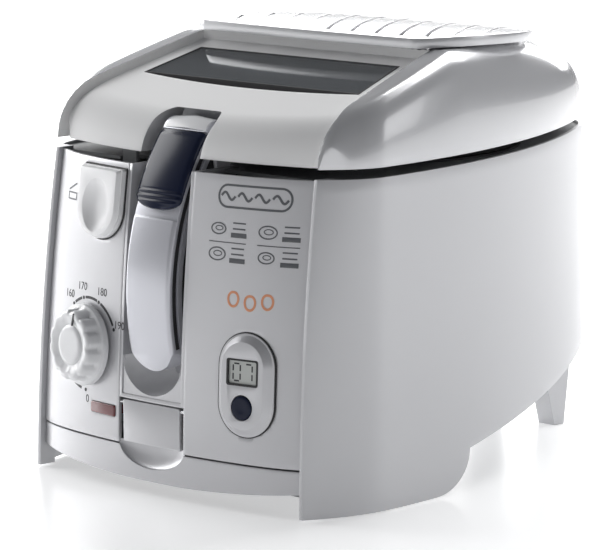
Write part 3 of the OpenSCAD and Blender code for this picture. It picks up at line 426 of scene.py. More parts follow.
filterFelt = finishMaterial("filterFelt", (0.10, 0.10, 0.10), 0.95, grain=900, depth=0.5, variation=0.4)
slotMaterials = {"pearl_plastic": pearlShell, "white_plastic": whitePlastic, "lavender_plastic": lavenderPlastic,
                 "navy_plastic": navyPlastic, "grey_plastic": greyPlastic, "black_plastic": blackPlastic,
                 "smoked_window": smokedPane, "red_lens": redLens, "lcd": displayFace, "board_green": boardLacquer,
                 "rubber": rubber, "nonstick": nonStick, "steel": brushedSteel, "chrome": chromeWire,
                 "aluminium": pressedAluminium, "brass": turnedBrass, "filter_felt": filterFelt}
shownAs = {"rim_deck": greyPlastic, "rubber_feet": pearlShell, "lid_striker": greyPlastic}
for part in frame["record"]["subparts"]:
    node = frame["nodes"][part["node"]]
    node.data.materials.clear()
    node.data.materials.append(shownAs.get(part["node"]) or slotMaterials[part["material_slot"]])
print("materials made")


# side shell
shellSize = dict(rings=24, legEnd=100, floorZ=1.2, riseY=134, riseZ=26, rearRise=58,
                 inletR=7.15, inletX=34, inletZ=120,
                 edge=1.3)


def hollowRing(z):
    # straight walls just behind the front edges, then the inset outline
    x0 = cornerX(z) - body["wall"]
    y0 = cornerY(z)
    w = body["width"] / 2 - body["wall"]
    half = [(x0, y0 - 30), (x0, y0 + body["lip"])]
    start = body["lip"] + 1.5
    for i in range(12):
        y = y0 + start + (body["wideY"] - y0 - start) * i / 12
        half.append((x0 + (w - x0) * (1 - (1 - (y - y0) / (body["wideY"] - y0)) ** 2), y))
    half += halfOutline(z, body["wall"], y0)[outlineSteps["front"]:]
    return [(x, y, z) for x, y in half + [(0, rearY - body["wall"])] + mirrored(half)]


def makeSideShell():
    s = shellSize
    heights = [body["height"] * k / s["rings"] for k in range(s["rings"] + 1)]
    shell = loft("sideShell", [[(x, y, z) for x, y in outline(z, 0, cornerY(z))] for z in heights], pearlShell)
    inside = loft("inside", [hollowRing(-1 + (body["height"] + 2) * k / 12) for k in range(13)])
    # the underside: front legs, a quarter bow and a straight rise to the rear
    bow = arc(s["riseY"] - s["legEnd"], s["riseZ"] - s["floorZ"], -math.pi / 2, 0, 16, s["legEnd"], s["riseZ"])
    below = [(-40, -20), (-40, s["floorZ"])] + bow
    below += [(rearY - 15, s["rearRise"]), (rearY + 20, s["rearRise"] + 9), (rearY + 20, -20)]
    underneath = prism("underneath", below, -150, 150, axis="x")
    inlet = prism("inlet", circleShape(s["inletR"], 48, s["inletX"], s["inletZ"]), rearY - 30, rearY + 10, axis="y")
    cut(shell, inside, underneath, inlet)
    soften(shell, s["edge"], segments=3)
    finishPiece(shell, "housing", "pearl_plastic", "side_shell")


makeSideShell()
print("side shell done")


# front panel, skirt and channel
panelHalf = cornerX(0) - body["wall"] - 0.15
panel = dict(gap=2.75, knobR=4.5, lensW=24.3, lensH=7.3, timerW=40.6, timerH=62.6, buttonGap=0.6)
skirt = dict(top=1.2, setBack=0.4, archR=1001, archSpan=8, archUp=0.3, recessW=29, recessH=15, recessUp=3,
             dishGrow=0.6, dishRound=0.4, dishDepth=5)


def faceGrid(z0, z1, rows, cols, d):
    # points over the front face, from the left edge to the right, set back by d
    grid = []
    for j in range(rows + 1):
        z = z0 + (z1 - z0) * j / rows
        w = panelHalf - (cornerX(0) - cornerX(z))
        across = [(-1 + 2 * i / cols) * w for i in range(cols + 1)]
        grid.append([(x, faceY(x, z) + d, z) for x in across])
    return grid


def onFace(x, z):
    # a frame on the front face: x right, y up, z out of the face
    turn = math.atan((faceY(x + 1, z) - faceY(x - 1, z)) / 2)
    tilt = math.atan((faceY(x, z + 1) - faceY(x, z - 1)) / 2)
    move = Matrix.Translation(Vector((x, faceY(x, z), z)))
    return move @ Matrix.Rotation(turn, 4, "Z") @ Matrix.Rotation(math.pi / 2 - tilt, 4, "X")


def facePrism(name, shape, spot, low, high, material=None, shift=(0, 0)):
    at = onFace(*spot)
    ends = [at @ Vector((u + shift[0], v + shift[1], h)) for h in (low, high) for u, v in shape]
    return barOf(name, ends, material)


def faceLoft(name, layers, spot):
    # layers are (outline, height) pairs with equal point counts
    at = onFace(*spot)
    n = len(layers[0][0])
    points = [at @ Vector((u, v, h)) for shape, h in layers for u, v in shape]
    last = (len(layers) - 1) * n
    faces = stitch(len(layers), n) + [tuple(range(n - 1, -1, -1)), tuple(range(last, last + n))]
    return makeObject(name, points, faces)


def buttonShape(grow, n=28):
    # flat top with tight corners and a full round bottom
    r = spots["buttonW"] / 2 + grow
    h = spots["buttonH"] / 2 + grow
    corner = 1.6
    high = arc(corner, corner, 0, math.pi / 2, 8, r - corner, h - corner)
    return arc(r, h - 3, math.pi, 2 * math.pi, n, 0, -3) + high + mirrored(high)


def makeFrontPanel():
    grid = faceGrid(spots["panelBottom"], body["height"] - 1, 40, 96, 0)
    front = sheetOf("frontPanel", grid, body["wall"], pearlPanel)
    w = channelHalf + panel["gap"]
    channel = prism("channel", [(-w, -60), (w, -60), (w, 60), (-w, 60)], 0, 230)
    openings = ((circleShape(panel["knobR"], 32), spots["knob"]),
                (roundedBox(panel["lensW"], panel["lensH"], 0.8), spots["lens"]),
                (ovalShape(panel["timerW"], panel["timerH"]), spots["timer"]),
                (buttonShape(panel["buttonGap"]), buttonSpot))
    cut(front, channel, *[facePrism("opening", shape, spot, -20, 20) for shape, spot in openings])
    soften(front)
    finishPiece(front, "housing", "pearl_plastic", "front_panel")


def makeFrontSkirt():
    s = skirt
    z0, z1 = spots["skirtBottom"], spots["panelBottom"] - s["top"]
    front = sheetOf("frontSkirt", faceGrid(z0, z1, 12, 96, s["setBack"]), body["wall"], pearlPanel)
    a0, a1 = (math.radians(-90 + k * s["archSpan"]) for k in (-1, 1))
    arch = arc(s["archR"], s["archR"], a0, a1, 64, 0, z0 - s["archUp"] + s["archR"])
    lower = prism("lower", [(-160, -30)] + arch + [(160, -30)], -40, 40, axis="y")
    rimZ = z1 + s["recessUp"]
    recess = arc(s["recessW"], s["recessH"], math.pi, 2 * math.pi, 24, 0, rimZ)
    cut(front, lower, prism("finger", recess, -40, 40, axis="y"))
    soften(front)
    finishPiece(front, "housing", "pearl_plastic", "front_skirt")
    # the dished back of the finger recess
    rows = []
    for j in range(13):
        f, g = math.cos(math.pi / 2 * j / 12.3), math.sin(math.pi / 2 * j / 12.3)
        edge = arc((s["recessW"] + s["dishGrow"]) * f, (s["recessH"] + s["dishRound"]) * f,
                   math.pi, 2 * math.pi, 32, 0, rimZ)
        rows.append([(x, faceY(x, 20) + 0.8 + s["dishDepth"] * g, z) for x, z in edge])
    dish = loft("skirtDish", rows, pearlPanel, closed=False)
    soften(dish, 0)
    finishPiece(dish, "housing", "pearl_plastic")


channel = dict(edge=2.6, scoopZ=85, doorStep=1.2, strapHalf=12.5, strapLow=185, strapHigh=225, strapBack=60,
               earR=7, earT=3, earGap=1)
doorY = faceY(0, spots["panelBottom"] + 1) + channel["doorStep"]


def channelBack(r, z):
    # how far back the channel's curved floor lies at height z
    return arm["arcY"] - math.sqrt(r ** 2 - (z - arm["arcZ"]) ** 2)


def channelProfile(t):
    # side view of the channel: scoop at the bottom, curved floor above it; t is the wall left below
    scoopLow = spots["doorTop"] + 1 + body["wall"]
    scoopZ = channel["scoopZ"]
    scoopY = channelBack(channelFloorR, scoopZ)
    scoopFront = doorY + 1
    drop = scoopZ - scoopLow
    scoopR = ((scoopY - scoopFront) ** 2 + drop ** 2) / (2 * (scoopY - scoopFront))
    top = body["height"] + 10
    out = [(-60, scoopLow - t), (scoopFront, scoopLow - t)]
    out += arc(scoopR + t, scoopR + t, -math.asin(drop / scoopR), 0, 24, scoopY - scoopR, scoopZ)
    heights = [scoopZ + (top - scoopZ) * i / 24 for i in range(1, 25)]
    return out + [(channelBack(channelFloorR - t, z), z) for z in heights] + [(-60, top)]


def makeChannel():
    c = channel
    half = channelHalf + c["edge"]
    outer = prism("handleChannel", channelProfile(body["wall"]), -half, half, pearlPanel, "x")
    front = sheetOf("front", faceGrid(spots["panelBottom"], body["height"] - 1, 30, 60, 0.2), 80)
    combine(outer, "INTERSECT", [front])
    cut(outer, prism("inner", channelProfile(0), -channelHalf, channelHalf, axis="x"))
    w, back = c["strapHalf"], pivotY + c["strapBack"]
    strapWay = [(-w, pivotY), (w, pivotY), (w, back), (-w, back)]
    cut(outer, prism("strapWay", strapWay, c["strapLow"], c["strapHigh"]))
    ears = []
    ear = arc(-c["earR"], c["earR"], 0, math.pi, 16, pivotY, pivotZ)
    ear += [(pivotY + c["earR"], body["height"] - 6), (pivotY - 3, body["height"] - 16)]
    for s in (-1, 1):
        centre = s * (arm["width"] / 2 + c["earGap"] + c["earT"] / 2)
        ears.append(prism("ear", ear, centre - c["earT"] / 2, centre + c["earT"] / 2, axis="x"))
    join(outer, *ears)
    soften(outer, 0.8)
    finishPiece(outer, "housing", "pearl_plastic", "handle_channel")


scoop = dict(z=84, radius=25.8, low=57.9, rise=4, proud=0.9, plate=1.2)


def makeScoop():
    # the rounded dish under the handle's end, with the flat face around it
    s = scoop
    deep = channelBack(channelFloorR, s["z"]) - faceY(0, 60) - s["proud"]
    r, drop = s["radius"], s["z"] - s["low"] - s["rise"]
    rows = []
    for j in range(17):
        f, g = math.cos(math.pi / 2 * j / 16.3), math.sin(math.pi / 2 * j / 16.3)
        edge = arc(r * f, drop * f, math.pi, 2 * math.pi, 40, 0, s["z"])
        rows.append([(x, faceY(x / f, 65) + s["proud"] + deep * g, z) for x, z in edge])
    # the dish takes the lighter white plastic instead of the pearl around it: painted light, brightening a dish that
    # sits in shade
    bowl = loft("scoopDish", rows, whitePlastic, closed=False)
    soften(bowl, 0)
    finishPiece(bowl, "housing", "pearl_plastic")
    rim = arc(r, drop, math.pi, 2 * math.pi, 40, 0, s["z"])
    points = [(x, faceY(x, z) + s["proud"], z) for x, top in rim for z in (s["low"], top)]
    faces = [(2 * i, 2 * i + 2, 2 * i + 3, 2 * i + 1) for i in range(40)]
    plate = makeObject("scoopPlate", points, faces, pearlPanel)
    thicken(plate, s["plate"], -1)
    soften(plate, 0, 40)
    finishPiece(plate, "housing", "pearl_plastic")


door = dict(thick=3.4, gap=1, corner=1.2)


def makeDrainDoor():
    low, high = spots["panelBottom"] + door["gap"], spots["doorTop"]
    shape = roundedBox(2 * (channelHalf - door["gap"]), high - low, door["corner"], 5, 0, (low + high) / 2)
    flap = prism("drainDoor", shape, doorY, doorY + door["thick"], pearlPanel, "y")
    soften(flap, 0.7)
    finishPiece(flap, "door", "pearl_plastic", "drain_door")


makeFrontPanel()
makeFrontSkirt()
makeChannel()
makeScoop()
makeDrainDoor()
print("front done")


# lid
band = dict(frontHalf=cornerX(body["height"]) - 0.6, rearHalf=99, from_=slopeFrom - 12, bendY=72, bendX=9)
recess = dict(behind=13, above=15, corner=8)


def spine(y, d, bow=0):
    # height of the lid's middle line at y, set in by d; bow moves the front edge forward
    r = lid["frontR"] - d
    if y <= lidFront + d - bow + 0.001:
        return arcZ - bow * math.tan(slope)
    if y < slopeFrom - bow:
        return arcZ - bow * math.tan(slope) + math.sqrt(max(0, r * r - (arcY - bow - y) ** 2))
    if y < peakY:
        return slopeZ + (y - slopeFrom) * math.tan(slope) - d / math.cos(slope)
    return peakZ - lid["tail"] * ((y - peakY) / (rearY - peakY)) ** 2.2 - d


def lidBulge(x):
    return body["bulgeTop"] * max(0, 1 - (x / cornerX(body["height"])) ** 2)


def shoulder(e):
    # how far the top has risen at a distance e from the edge
    w = lid["shoulder"]
    return 1 if e >= w else (1 - (1 - max(0, e) / w) ** 2.6) ** (1 / 2.6)


def lidPoint(p, s, d):
    # p is a point of the edge, s runs from the edge to the middle
    x = p[0] * (1 - s)
    y = p[1] + (lid["centre"] - p[1]) * s
    e = s * math.hypot(p[0], p[1] - lid["centre"])
    top = spine(y, d, lidBulge(x))
    rise = shoulder(e * max(0.6, abs(p[0]) / cornerX(body["height"])))
    side = 1 + (rise - 1) * smoothStep((p[1] - lidFront - d) / 16)
    return (x, y, lidZ - 0.5 + max(0.5 + s, (top - lidZ) * side))


def dome(name, d, z0, material=None):
    # the lid as a solid down to z0, with its surface set in by d
    w = cornerX(body["height"]) - d
    across = [w * (2 * i / 60 - 1) for i in range(1, 60)]
    edge = outline(body["height"], d, lidFront + d) + [(x, lidFront + d - lidBulge(x)) for x in across]
    steps = [0.30 * (k / 34) ** 2 for k in range(35)] + [0.30 + 0.66 * k / 16 for k in range(1, 17)]
    n = len(edge)
    points = [(x, y, z0) for x, y in edge]
    for s in steps:
        points += [lidPoint(p, s, d) for p in edge]
    faces = stitch(len(steps) + 1, n)
    top = len(points)
    points += [(0, lid["centre"], spine(lid["centre"], d)), (0, lid["centre"], z0)]
    for i in range(n):
        b = (i + 1) % n
        faces += [(top - n + i, top - n + b, top), (b, i, top + 1)]
    return makeObject(name, points, faces, material)


def bandBlock(drop, grow):
    # the recessed middle band: straight at the front, tapering back to the filter cover
    start = (band["frontHalf"] + grow, band["from_"])
    bend = (band["rearHalf"] + band["bendX"] + grow, band["bendY"])
    end = (band["rearHalf"] + grow, bandRear + grow)
    right = [(band["frontHalf"] + grow, -60)]
    for i in range(13):
        t = i / 12
        right.append(tuple((1 - t) ** 2 * start[k] + 2 * t * (1 - t) * bend[k] + t * t * end[k] for k in (0, 1)))
    block = prism("block", right + mirrored(right), lidZ - 30, lidZ + 110)
    return cut(block, dome("floor", drop, lidZ - 40))


def recessBlock(grow):
    # the notch in front for the handle's pivot end
    half = channelHalf + grow
    top = pivotZ + recess["above"] + grow
    r = recess["corner"]
    shape = [(-half, lidZ - 30), (half, lidZ - 30)] + arc(r, r, 0, math.pi / 2, 8, half - r, top - r)
    shape += arc(r, r, math.pi / 2, math.pi, 8, -half + r, top - r)
    return prism("recess", shape, -20, pivotY + recess["behind"] + grow, axis="y")


def makeLid():
    wall = body["wall"]
    shell = dome("lidShell", 0, lidZ, pearlGloss)
    inside = dome("inside", wall, lidZ - 1)
    cut(inside, bandBlock(lid["drop"] + wall, wall), recessBlock(wall))
    cut(shell, inside, bandBlock(lid["drop"], 0), recessBlock(0))
    front, rear = lid["windowHalf"], lid["windowHalf"] - 7
    across = [2 * i / 24 - 1 for i in range(25)]
    window = [(front * t, lid["windowFront"] - lid["windowBow"] * (1 - t ** 2)) for t in across]
    window += [(rear, lid["windowFront"] + lid["windowL"]), (-rear, lid["windowFront"] + lid["windowL"])]
    cut(shell, prism("windowHole", window, lidZ + 10, lidZ + 200))
    cut(shell, prism("filterHole", circleShape(lid["filterR"], 96, 0, filterC), lidZ - 30, lidZ + 200))
    for s in (-1, 1):
        cut(shell, prism("hingeSlot", roundedBox(9.2, 60, 0.5, 3, s * 12, rearY + 7), lidZ - 20, lidZ + 13))
    soften(shell, 0.8, 30)
    finishPiece(shell, "lid", "pearl_plastic", "lid_shell")


makeLid()
print("lid done")


# filter cover with curved louvres
cover = dict(corner=1.8, bow=3.2, middle=12, rings=26, edge=0.5)
louvre = dict(pitch=20.8, first=12.3, open=5, slant=0.8, sweep=0.00077, from_=130, width=2.0, depth=2.0, margin=9,
              narrower=0.1, flare=1.5, through=12)


def coverTop(y):
    return spine(max(y, peakY), 0) + 0.3


def louvrePath(lane):
    # a curved line that sweeps back to the left, kept inside the plate's rim
    path = []
    for k in range(80):
        y = bandRear - 2 + k * 2.9
        d = y - louvre["from_"]
        x = lane - louvre["slant"] * d + louvre["sweep"] * d * d
        if math.hypot(x, y - coverC) < lid["coverR"] - louvre["margin"] and y > coverFront + 7:
            path.append((x, y))
    return path


def louvreCutter(path, through):
    half = louvre["width"] / 2 - (0 if through else louvre["narrower"])
    rings = []
    for i, (x, y) in enumerate(path):
        a, b = path[max(0, i - 1)], path[min(len(path) - 1, i + 1)]
        dx, dy = b[0] - a[0], b[1] - a[1]
        length = math.hypot(dx, dy)
        sx, sy = -dy / length * half, dx / length * half
        top = coverTop(y) + lid["coverT"]
        low = top - (louvre["through"] if through else louvre["depth"])
        wide = louvre["flare"]
        rings.append([(x - sx, y - sy, low), (x + sx, y + sy, low),
                      (x + sx * wide, y + sy * wide, top + 3), (x - sx * wide, y - sy * wide, top + 3)])
    return loft("slot", rings)


def makeFilterCover():
    r = lid["coverR"]
    start = math.asin((coverFront - coverC) / r)
    rim = arc(r, r, start, math.pi - start, 120, 0, coverC)
    rim[0] = (rim[0][0] - cover["corner"], rim[0][1])
    rim[-1] = (-rim[0][0], rim[0][1])
    across = [2 * i / 40 - 1 for i in range(1, 40)]
    edge = rim + [(rim[0][0] * t, coverFront + cover["bow"] * (t ** 2 - 1)) for t in across]
    # rings shrink to the middle so that the top can follow the lid's curve
    levels = [1 - k / cover["rings"] for k in range(cover["rings"])]
    middleY = coverC + cover["middle"]
    points = []
    for thick in (lid["coverT"], 0):
        for s in levels:
            for x, y in edge:
                py = middleY + (y - middleY) * s
                points.append((x * s, py, coverTop(py) + thick))
    half, n = len(points) // 2, len(edge)
    points += [(0, middleY, coverTop(middleY) + thick) for thick in (lid["coverT"], 0)]
    faces = stitch(len(levels), n) + [face[::-1] for face in stitch(len(levels), n, base=half)]
    for i in range(n):
        a, b = half - n + i, half - n + (i + 1) % n
        faces += [(a, b, 2 * half), (b + half, a + half, 2 * half + 1),
                  (i, i + half, (i + 1) % n + half, (i + 1) % n)]
    plate = makeObject("filterCover", points, faces, pearlGloss)
    for k in range(-11, 13):
        path = louvrePath(louvre["first"] + louvre["pitch"] * k)
        if len(path) >= 3:
            cut(plate, louvreCutter(path, 0 <= k < louvre["open"]))
    soften(plate, cover["edge"], 40)
    finishPiece(plate, "filter_lid", "pearl_plastic", "filter_cover")


makeFilterCover()
print("filter cover done")


# handle and slider
handle = dict(crown=0.3, groove=8, grooveDeep=1.3, foot=2.5, back=4, seatDeep=2, shadeStripOut=0.12, shadeStripIn=1.4)
# black side strips of the handle: painted shade in the side groove and painted shade on the rear part beside the
# channel
handleShadeBands = {"handleGrooveShade": (7.0, 4.2, 5.0), "handleBackShade": (18.8, 12.2, 7)}  # depths and start angle
slider = dict(steps=90, ribFrom=1.0, ribTo=4.3, ribPitch=1.1, ribHigh=0.275, round=2.6, wider=0.35, high=1.0,
              swell=1.0, swellOver=1.5)
cap = dict(start=0.7, up=0.3, out=10.3, steps=24, thick=0.6,
           section=((19, -3), (17.5, -0.6), (0, 0.7), (-17.5, -0.6), (-19, -3)))


def arcPoint(x, r, a):
    # a point at radius r and angle a, in degrees, around the middle of the handle's bow
    return (x, arm["arcY"] - r * math.cos(math.radians(a)), arm["arcZ"] + r * math.sin(math.radians(a)))


def arcBar(name, section, a0, a1, steps, material=None):
    rings = [[arcPoint(x, r, a0 + (a1 - a0) * k / steps) for x, r in section] for k in range(steps + 1)]
    return loft(name, rings, material)


def handleSection():
    w, r, c = arm["width"] / 2, arm["radius"], arm["edge"]
    top, groove, low = r - handle["crown"], r - handle["groove"], r - arm["thick"]
    right = [(0, r), (w - c, top)] + arc(c, c, math.pi / 2, 0, 6, w - c, top - c)[1:]
    deep = w - handle["grooveDeep"]
    right += [(w, groove + 0.8), (deep, groove + 0.5), (deep, groove - 0.5), (w, groove - 0.8)]
    right += [(w, low + handle["foot"]), (w - handle["foot"], low)]
    return right + [(-x, y) for x, y in reversed(right[1:])]


def makeHandle():
    r, half = arm["radius"], arm["width"] / 2
    bar = arcBar("handle", handleSection(), handleLowA, arm["pivotA"], 60, lavenderPlastic)
    join(bar, prism("hub", circleShape(arm["thick"] / 2, 48, pivotY, pivotZ), -half, half, axis="x"))
    # round lower end
    w = half + 1
    end = arc(w, w, math.pi, 2 * math.pi, 32, 0, arm["low"] + w)
    end += [(w + 10, 130), (w + 10, 330), (-w - 10, 330), (-w - 10, 130)]
    combine(bar, "INTERSECT", [prism("rounding", end, -90, 150, axis="y")])
    inner, front = half - handle["back"], r - handle["back"]
    hollow = [(-inner, front), (inner, front), (inner, r - 30), (-inner, r - 30)]
    back = arcBar("back", hollow, handleLowA + 6, 26, 40)
    seatLow = r - handle["seatDeep"]
    seat = [(-22, r + 8), (22, r + 8), (22, seatLow), (-22, seatLow)]
    cut(bar, back, arcBar("seat", seat, arm["sliderLow"] - 2, arm["sliderHigh"] + 0.4, 20))
    cut(bar, prism("pin", circleShape(arm["pinR"], 32, pivotY, pivotZ), -30, 30, axis="x"))
    soften(bar, 0.8, 30, 3)
    finishPiece(bar, "handle_arm", "lavender_plastic", "handle")


def makeHandleSideShade():
    # black strips along each side of the handle, painted shade: one darkens the side groove, the other paints the
    # shade on the handle's rear part beside the channel
    r, w = arm["radius"], arm["width"] / 2
    inner, outer = w - handle["shadeStripIn"], w + handle["shadeStripOut"]
    for s, name in ((-1, "Left"), (1, "Right")):
        for part, (low, high, start) in handleShadeBands.items():
            edge = [(s * inner, r - low), (s * inner, r - high), (s * outer, r - high), (s * outer, r - low)]
            strip = arcBar(part + name, edge, handleLowA + start, arm["pivotA"] - 0.5, 50, blackPlastic)
            soften(strip, 0, 40)
            finishPiece(strip, "handle_arm", "black_plastic")


def makeSlider():
    s, r = slider, arm["radius"]
    low, high = arm["sliderLow"], arm["sliderHigh"]
    full = arm["width"] / 2 + s["wider"]
    rings = []
    for k in range(s["steps"] + 1):
        a = low + (high - low) * k / s["steps"]
        up = a - low
        rib = s["ribHigh"] * math.sin(up * 2 * math.pi / s["ribPitch"]) if s["ribFrom"] < up < s["ribTo"] else 0
        near = min(1, up / s["round"] + 0.04)
        w = full * math.sqrt(1 - (1 - near) ** 2)
        top = r + s["high"] + rib + s["swell"] * smoothStep((high - a) / s["swellOver"])
        half = [(w, r - 1.7), (w, top - 2.4), (w - 1.2, top - 0.9), (w - 3.5, top - 0.2)]
        ring = half + [(0, top)] + mirrored(half)
        rings.append([arcPoint(x, out, a) for x, out in ring])
    piece = loft("handleSlider", rings, navyPlastic)
    soften(piece, 0, 40)
    finishPiece(piece, "slider", "navy_plastic", "handle_slider")


def makeHandleCap():
    # silver cap over the pivot end, above the slider: along the bow first, then round the hub
    c = cap
    first = arm["sliderHigh"] + c["start"]
    rings = []
    for k in range(c["steps"] + 1):
        t = 3 * k / c["steps"]
        if t <= 1:
            a = first + (arm["pivotA"] - first) * t
            rings.append([arcPoint(x, arm["radius"] + c["up"] + h, a) for x, h in c["section"]])
        else:
            a = math.radians(arm["pivotA"]) + math.radians(90 * (t - 1) / 2)
            rings.append([(x, pivotY - (c["out"] + h) * math.cos(a), pivotZ + (c["out"] + h) * math.sin(a))
                          for x, h in c["section"]])
    piece = loft("handleCap", rings, knobPlastic, closed=False)
    thicken(piece, c["thick"])
    soften(piece, 0, 40)
    finishPiece(piece, "handle_arm", "lavender_plastic")


makeHandle()
makeHandleSideShade()
makeSlider()
makeHandleCap()
print("handle done")


# printed marks, which follow the bulged face
printThick = 0.08


def printPoint(spot, u, v, out):
    x, z = spot[0] + u, spot[1] + v
    return (x, faceY(x, z) - out, z)


def thinPrint(name, points, faces, material):
    mark = makeObject(name, points, faces, material)
    thicken(mark, printThick)
    finishPiece(mark, "housing", "black_plastic")


def printShape(name, spot, shape, material, out):
    # a closed outline, filled as a fan from its middle
    n = len(shape)
    middle = [sum(p[k] for p in shape) / n for k in (0, 1)]
    points = [printPoint(spot, *middle, out)] + [printPoint(spot, u, v, out) for u, v in shape]
    thinPrint(name, points, [(0, 1 + i, 1 + (i + 1) % n) for i in range(n)], material)


def denser(path, closed, step=2):
    # extra points along a path, so that a long line follows the bulge
    ends = list(zip(path, path[1:] + path[:1])) if closed else list(zip(path, path[1:]))
    out = []
    for (x0, y0), (x1, y1) in ends:
        n = max(1, int(math.hypot(x1 - x0, y1 - y0) / step))
        out += [(x0 + (x1 - x0) * i / n, y0 + (y1 - y0) * i / n) for i in range(n)]
    return out if closed else out + [path[-1]]


def printLine(name, spot, path, width, material=greyInk, out=0.12, closed=False):
    path = denser(path, closed)
    points, faces = [], []
    n = len(path)
    for i, (u, v) in enumerate(path):
        a, b = (path[i - 1], path[(i + 1) % n]) if closed else (path[max(0, i - 1)], path[min(n - 1, i + 1)])
        dx, dy = b[0] - a[0], b[1] - a[1]
        length = math.hypot(dx, dy) or 1
        for s in (-1, 1):
            points.append(printPoint(spot, u - s * dy / length * width / 2, v + s * dx / length * width / 2, out))
    for i in range(n if closed else n - 1):
        j = (i + 1) % n
        faces.append((2 * i, 2 * i + 1, 2 * j + 1, 2 * j))
    thinPrint(name, points, faces, material)


def arcBand(name, spot, r, width, a0, a1, out):
    # an arc around a point on the face, angles in degrees
    points = []
    for i in range(41):
        a = math.radians(a0 + (a1 - a0) * i / 40)
        for rr in (r - width / 2, r + width / 2):
            points.append(printPoint(spot, rr * math.cos(a), rr * math.sin(a), out))
    thinPrint(name, points, [(2 * i, 2 * i + 1, 2 * i + 3, 2 * i + 2) for i in range(40)], printInk)


def printNumber(name, spot, text, u, v, size):
    # plain dial numbers
    letters = bpy.data.curves.new(name, "FONT")
    letters.body = text
    letters.size = size
    letters.align_x = "CENTER"
    letters.align_y = "CENTER"
    letters.resolution_u = 4
    thing = bpy.data.objects.new(name, letters)
    scene.collection.objects.link(thing)
    bpy.context.view_layer.update()
    flat = shapedMesh(thing)
    bpy.data.objects.remove(thing)
    points = [printPoint(spot, u + p.co.x, v + p.co.y, 0.07) for p in flat.vertices]
    thinPrint(name, points, [tuple(f.vertices) for f in flat.polygons], printInk)


# controls
knob = dict(grips=12, gripDeep=1.5, gripFrom=5.5, gripInside=16, markAt=77, markW=0.6, markIn=12.6, markOut=20.4,
            profile=((24.3, 1.3), (25.3, 2.2), (25.4, 4.6), (24.8, 5.6), (23.0, 6.1), (22.2, 7.5), (21.9, 12.6),
                     (21.2, 14.0), (19.8, 14.7), (17.5, 14.5), (14.5, 13.6), (12.6, 13.2), (11.8, 13.9),
                     (11.0, 14.3), (9, 14.4), (2, 14.2)))
dial = dict(r=28.6, width=1.7, dotR=1.15, textR=35.5, textStretch=1.05, textSize=6.9,
            dots={"off": 267, "160": 127, "170": 103, "180": 70, "190": 25},
            arcs={"dialArcLow": (232, 258), "dialArcMid": (74, 99), "dialArcTop": (107, 123),
                  "dialArcHigh": (30, 66)},
            zero=(0.5, -34), lastShift=2.6)


def revolveOnFace(name, profile, spot, material, n=96, warp=None, shift=(0, 0)):
    # profile is (radius, height) pairs; warp may change the radius around the turn
    at = onFace(*spot)
    points = []
    for r, h in profile:
        for i in range(n):
            a = 2 * math.pi * i / n
            rr = warp(r, h, a) if warp else r
            points.append(at @ Vector((rr * math.cos(a) + shift[0], rr * math.sin(a) + shift[1], h)))
    faces = stitch(len(profile), n)
    points += [at @ Vector((*shift, profile[0][1])), at @ Vector((*shift, profile[-1][1]))]
    last = (len(profile) - 1) * n
    for i in range(n):
        faces.append((i, len(points) - 2, (i + 1) % n))
        faces.append((last + i, last + (i + 1) % n, len(points) - 1))
    return makeObject(name, points, faces, material)


def knobGrips(r, h, a):
    # finger flats around the raised part
    if h < knob["gripFrom"] or r < knob["gripInside"]:
        return r
    deep = knob["gripDeep"] * min(1, (h - knob["gripFrom"]) / 2)
    return r - deep * (0.5 + 0.5 * math.cos(knob["grips"] * a)) ** 3


def makeKnob():
    spot = spots["knob"]
    piece = revolveOnFace("temperatureKnob", knob["profile"], spot, knobPlastic, 144, knobGrips)
    soften(piece, 0, 34)
    finishPiece(piece, "knob", "white_plastic", "temperature_knob")
    a, w = math.radians(knob["markAt"]), knob["markW"]
    mark = [(-w, knob["markIn"]), (w, knob["markIn"]), (w, knob["markOut"]), (-w, knob["markOut"])]
    turned = [(x * math.sin(a) + y * math.cos(a), -x * math.cos(a) + y * math.sin(a)) for x, y in mark]
    finishPiece(facePrism("knobPointer", turned, spot, 14.0, 14.85, printInk), "knob", "white_plastic")


def makeDial():
    spot = spots["knob"]
    for name, (a0, a1) in dial["arcs"].items():
        arcBand(name, spot, dial["r"], dial["width"], a0, a1, 0.06)
    for name, degrees in dial["dots"].items():
        a = math.radians(degrees)
        dot = circleShape(dial["dotR"], 20, dial["r"] * math.cos(a), dial["r"] * math.sin(a))
        printShape("dialDot_" + name, spot, dot, printInk, 0.09)
        if name == "off":
            printNumber("dialNumber_off", spot, "0", *dial["zero"], dial["textSize"])
            continue
        shift = dial["lastShift"] if name == "190" else 0
        u, v = dial["textR"] * dial["textStretch"] * math.cos(a) - shift, dial["textR"] * math.sin(a)
        printNumber("dialNumber_" + name, spot, name, u, v, dial["textSize"])


def makeLens():
    lens = facePrism("indicatorLens", roundedBox(23.8, 6.8, 1.2), spots["lens"], -4, 1.1, redLens)
    soften(lens, 0.8, 30, 3)
    finishPiece(lens, "housing", "red_lens", "indicator_lens")


button = dict(base=(-9, 3.2), steps=((0.99, 0.99, 1.0), (0.97, 0.975, 3.5), (0.90, 0.92, 6.0)), dishR=14.5,
              dishTall=1.18, dishDown=-2, dishTop=6.4, dishDeep=5.2, points=56, rings=14, gapOut=1.0, gapIn=0.35)


def fingerDish():
    # a solid bowl that is cut out of the button
    b, n, rings = button, button["points"], button["rings"]
    at = onFace(*buttonSpot)
    levels = [(j / rings, b["dishTop"] - b["dishDeep"] * (1 - (j / rings) ** 4)) for j in range(1, rings + 1)]
    points = []
    for t, h in levels + [(1, 12)]:
        points += [at @ Vector((x, y, h)) for x, y in circleShape(b["dishR"] * t, n, 0, b["dishDown"], b["dishTall"])]
    last = rings * n
    faces = stitch(rings + 1, n) + [tuple(range(n)), tuple(range(last, last + n))]
    return makeObject("fingerDish", points, faces)


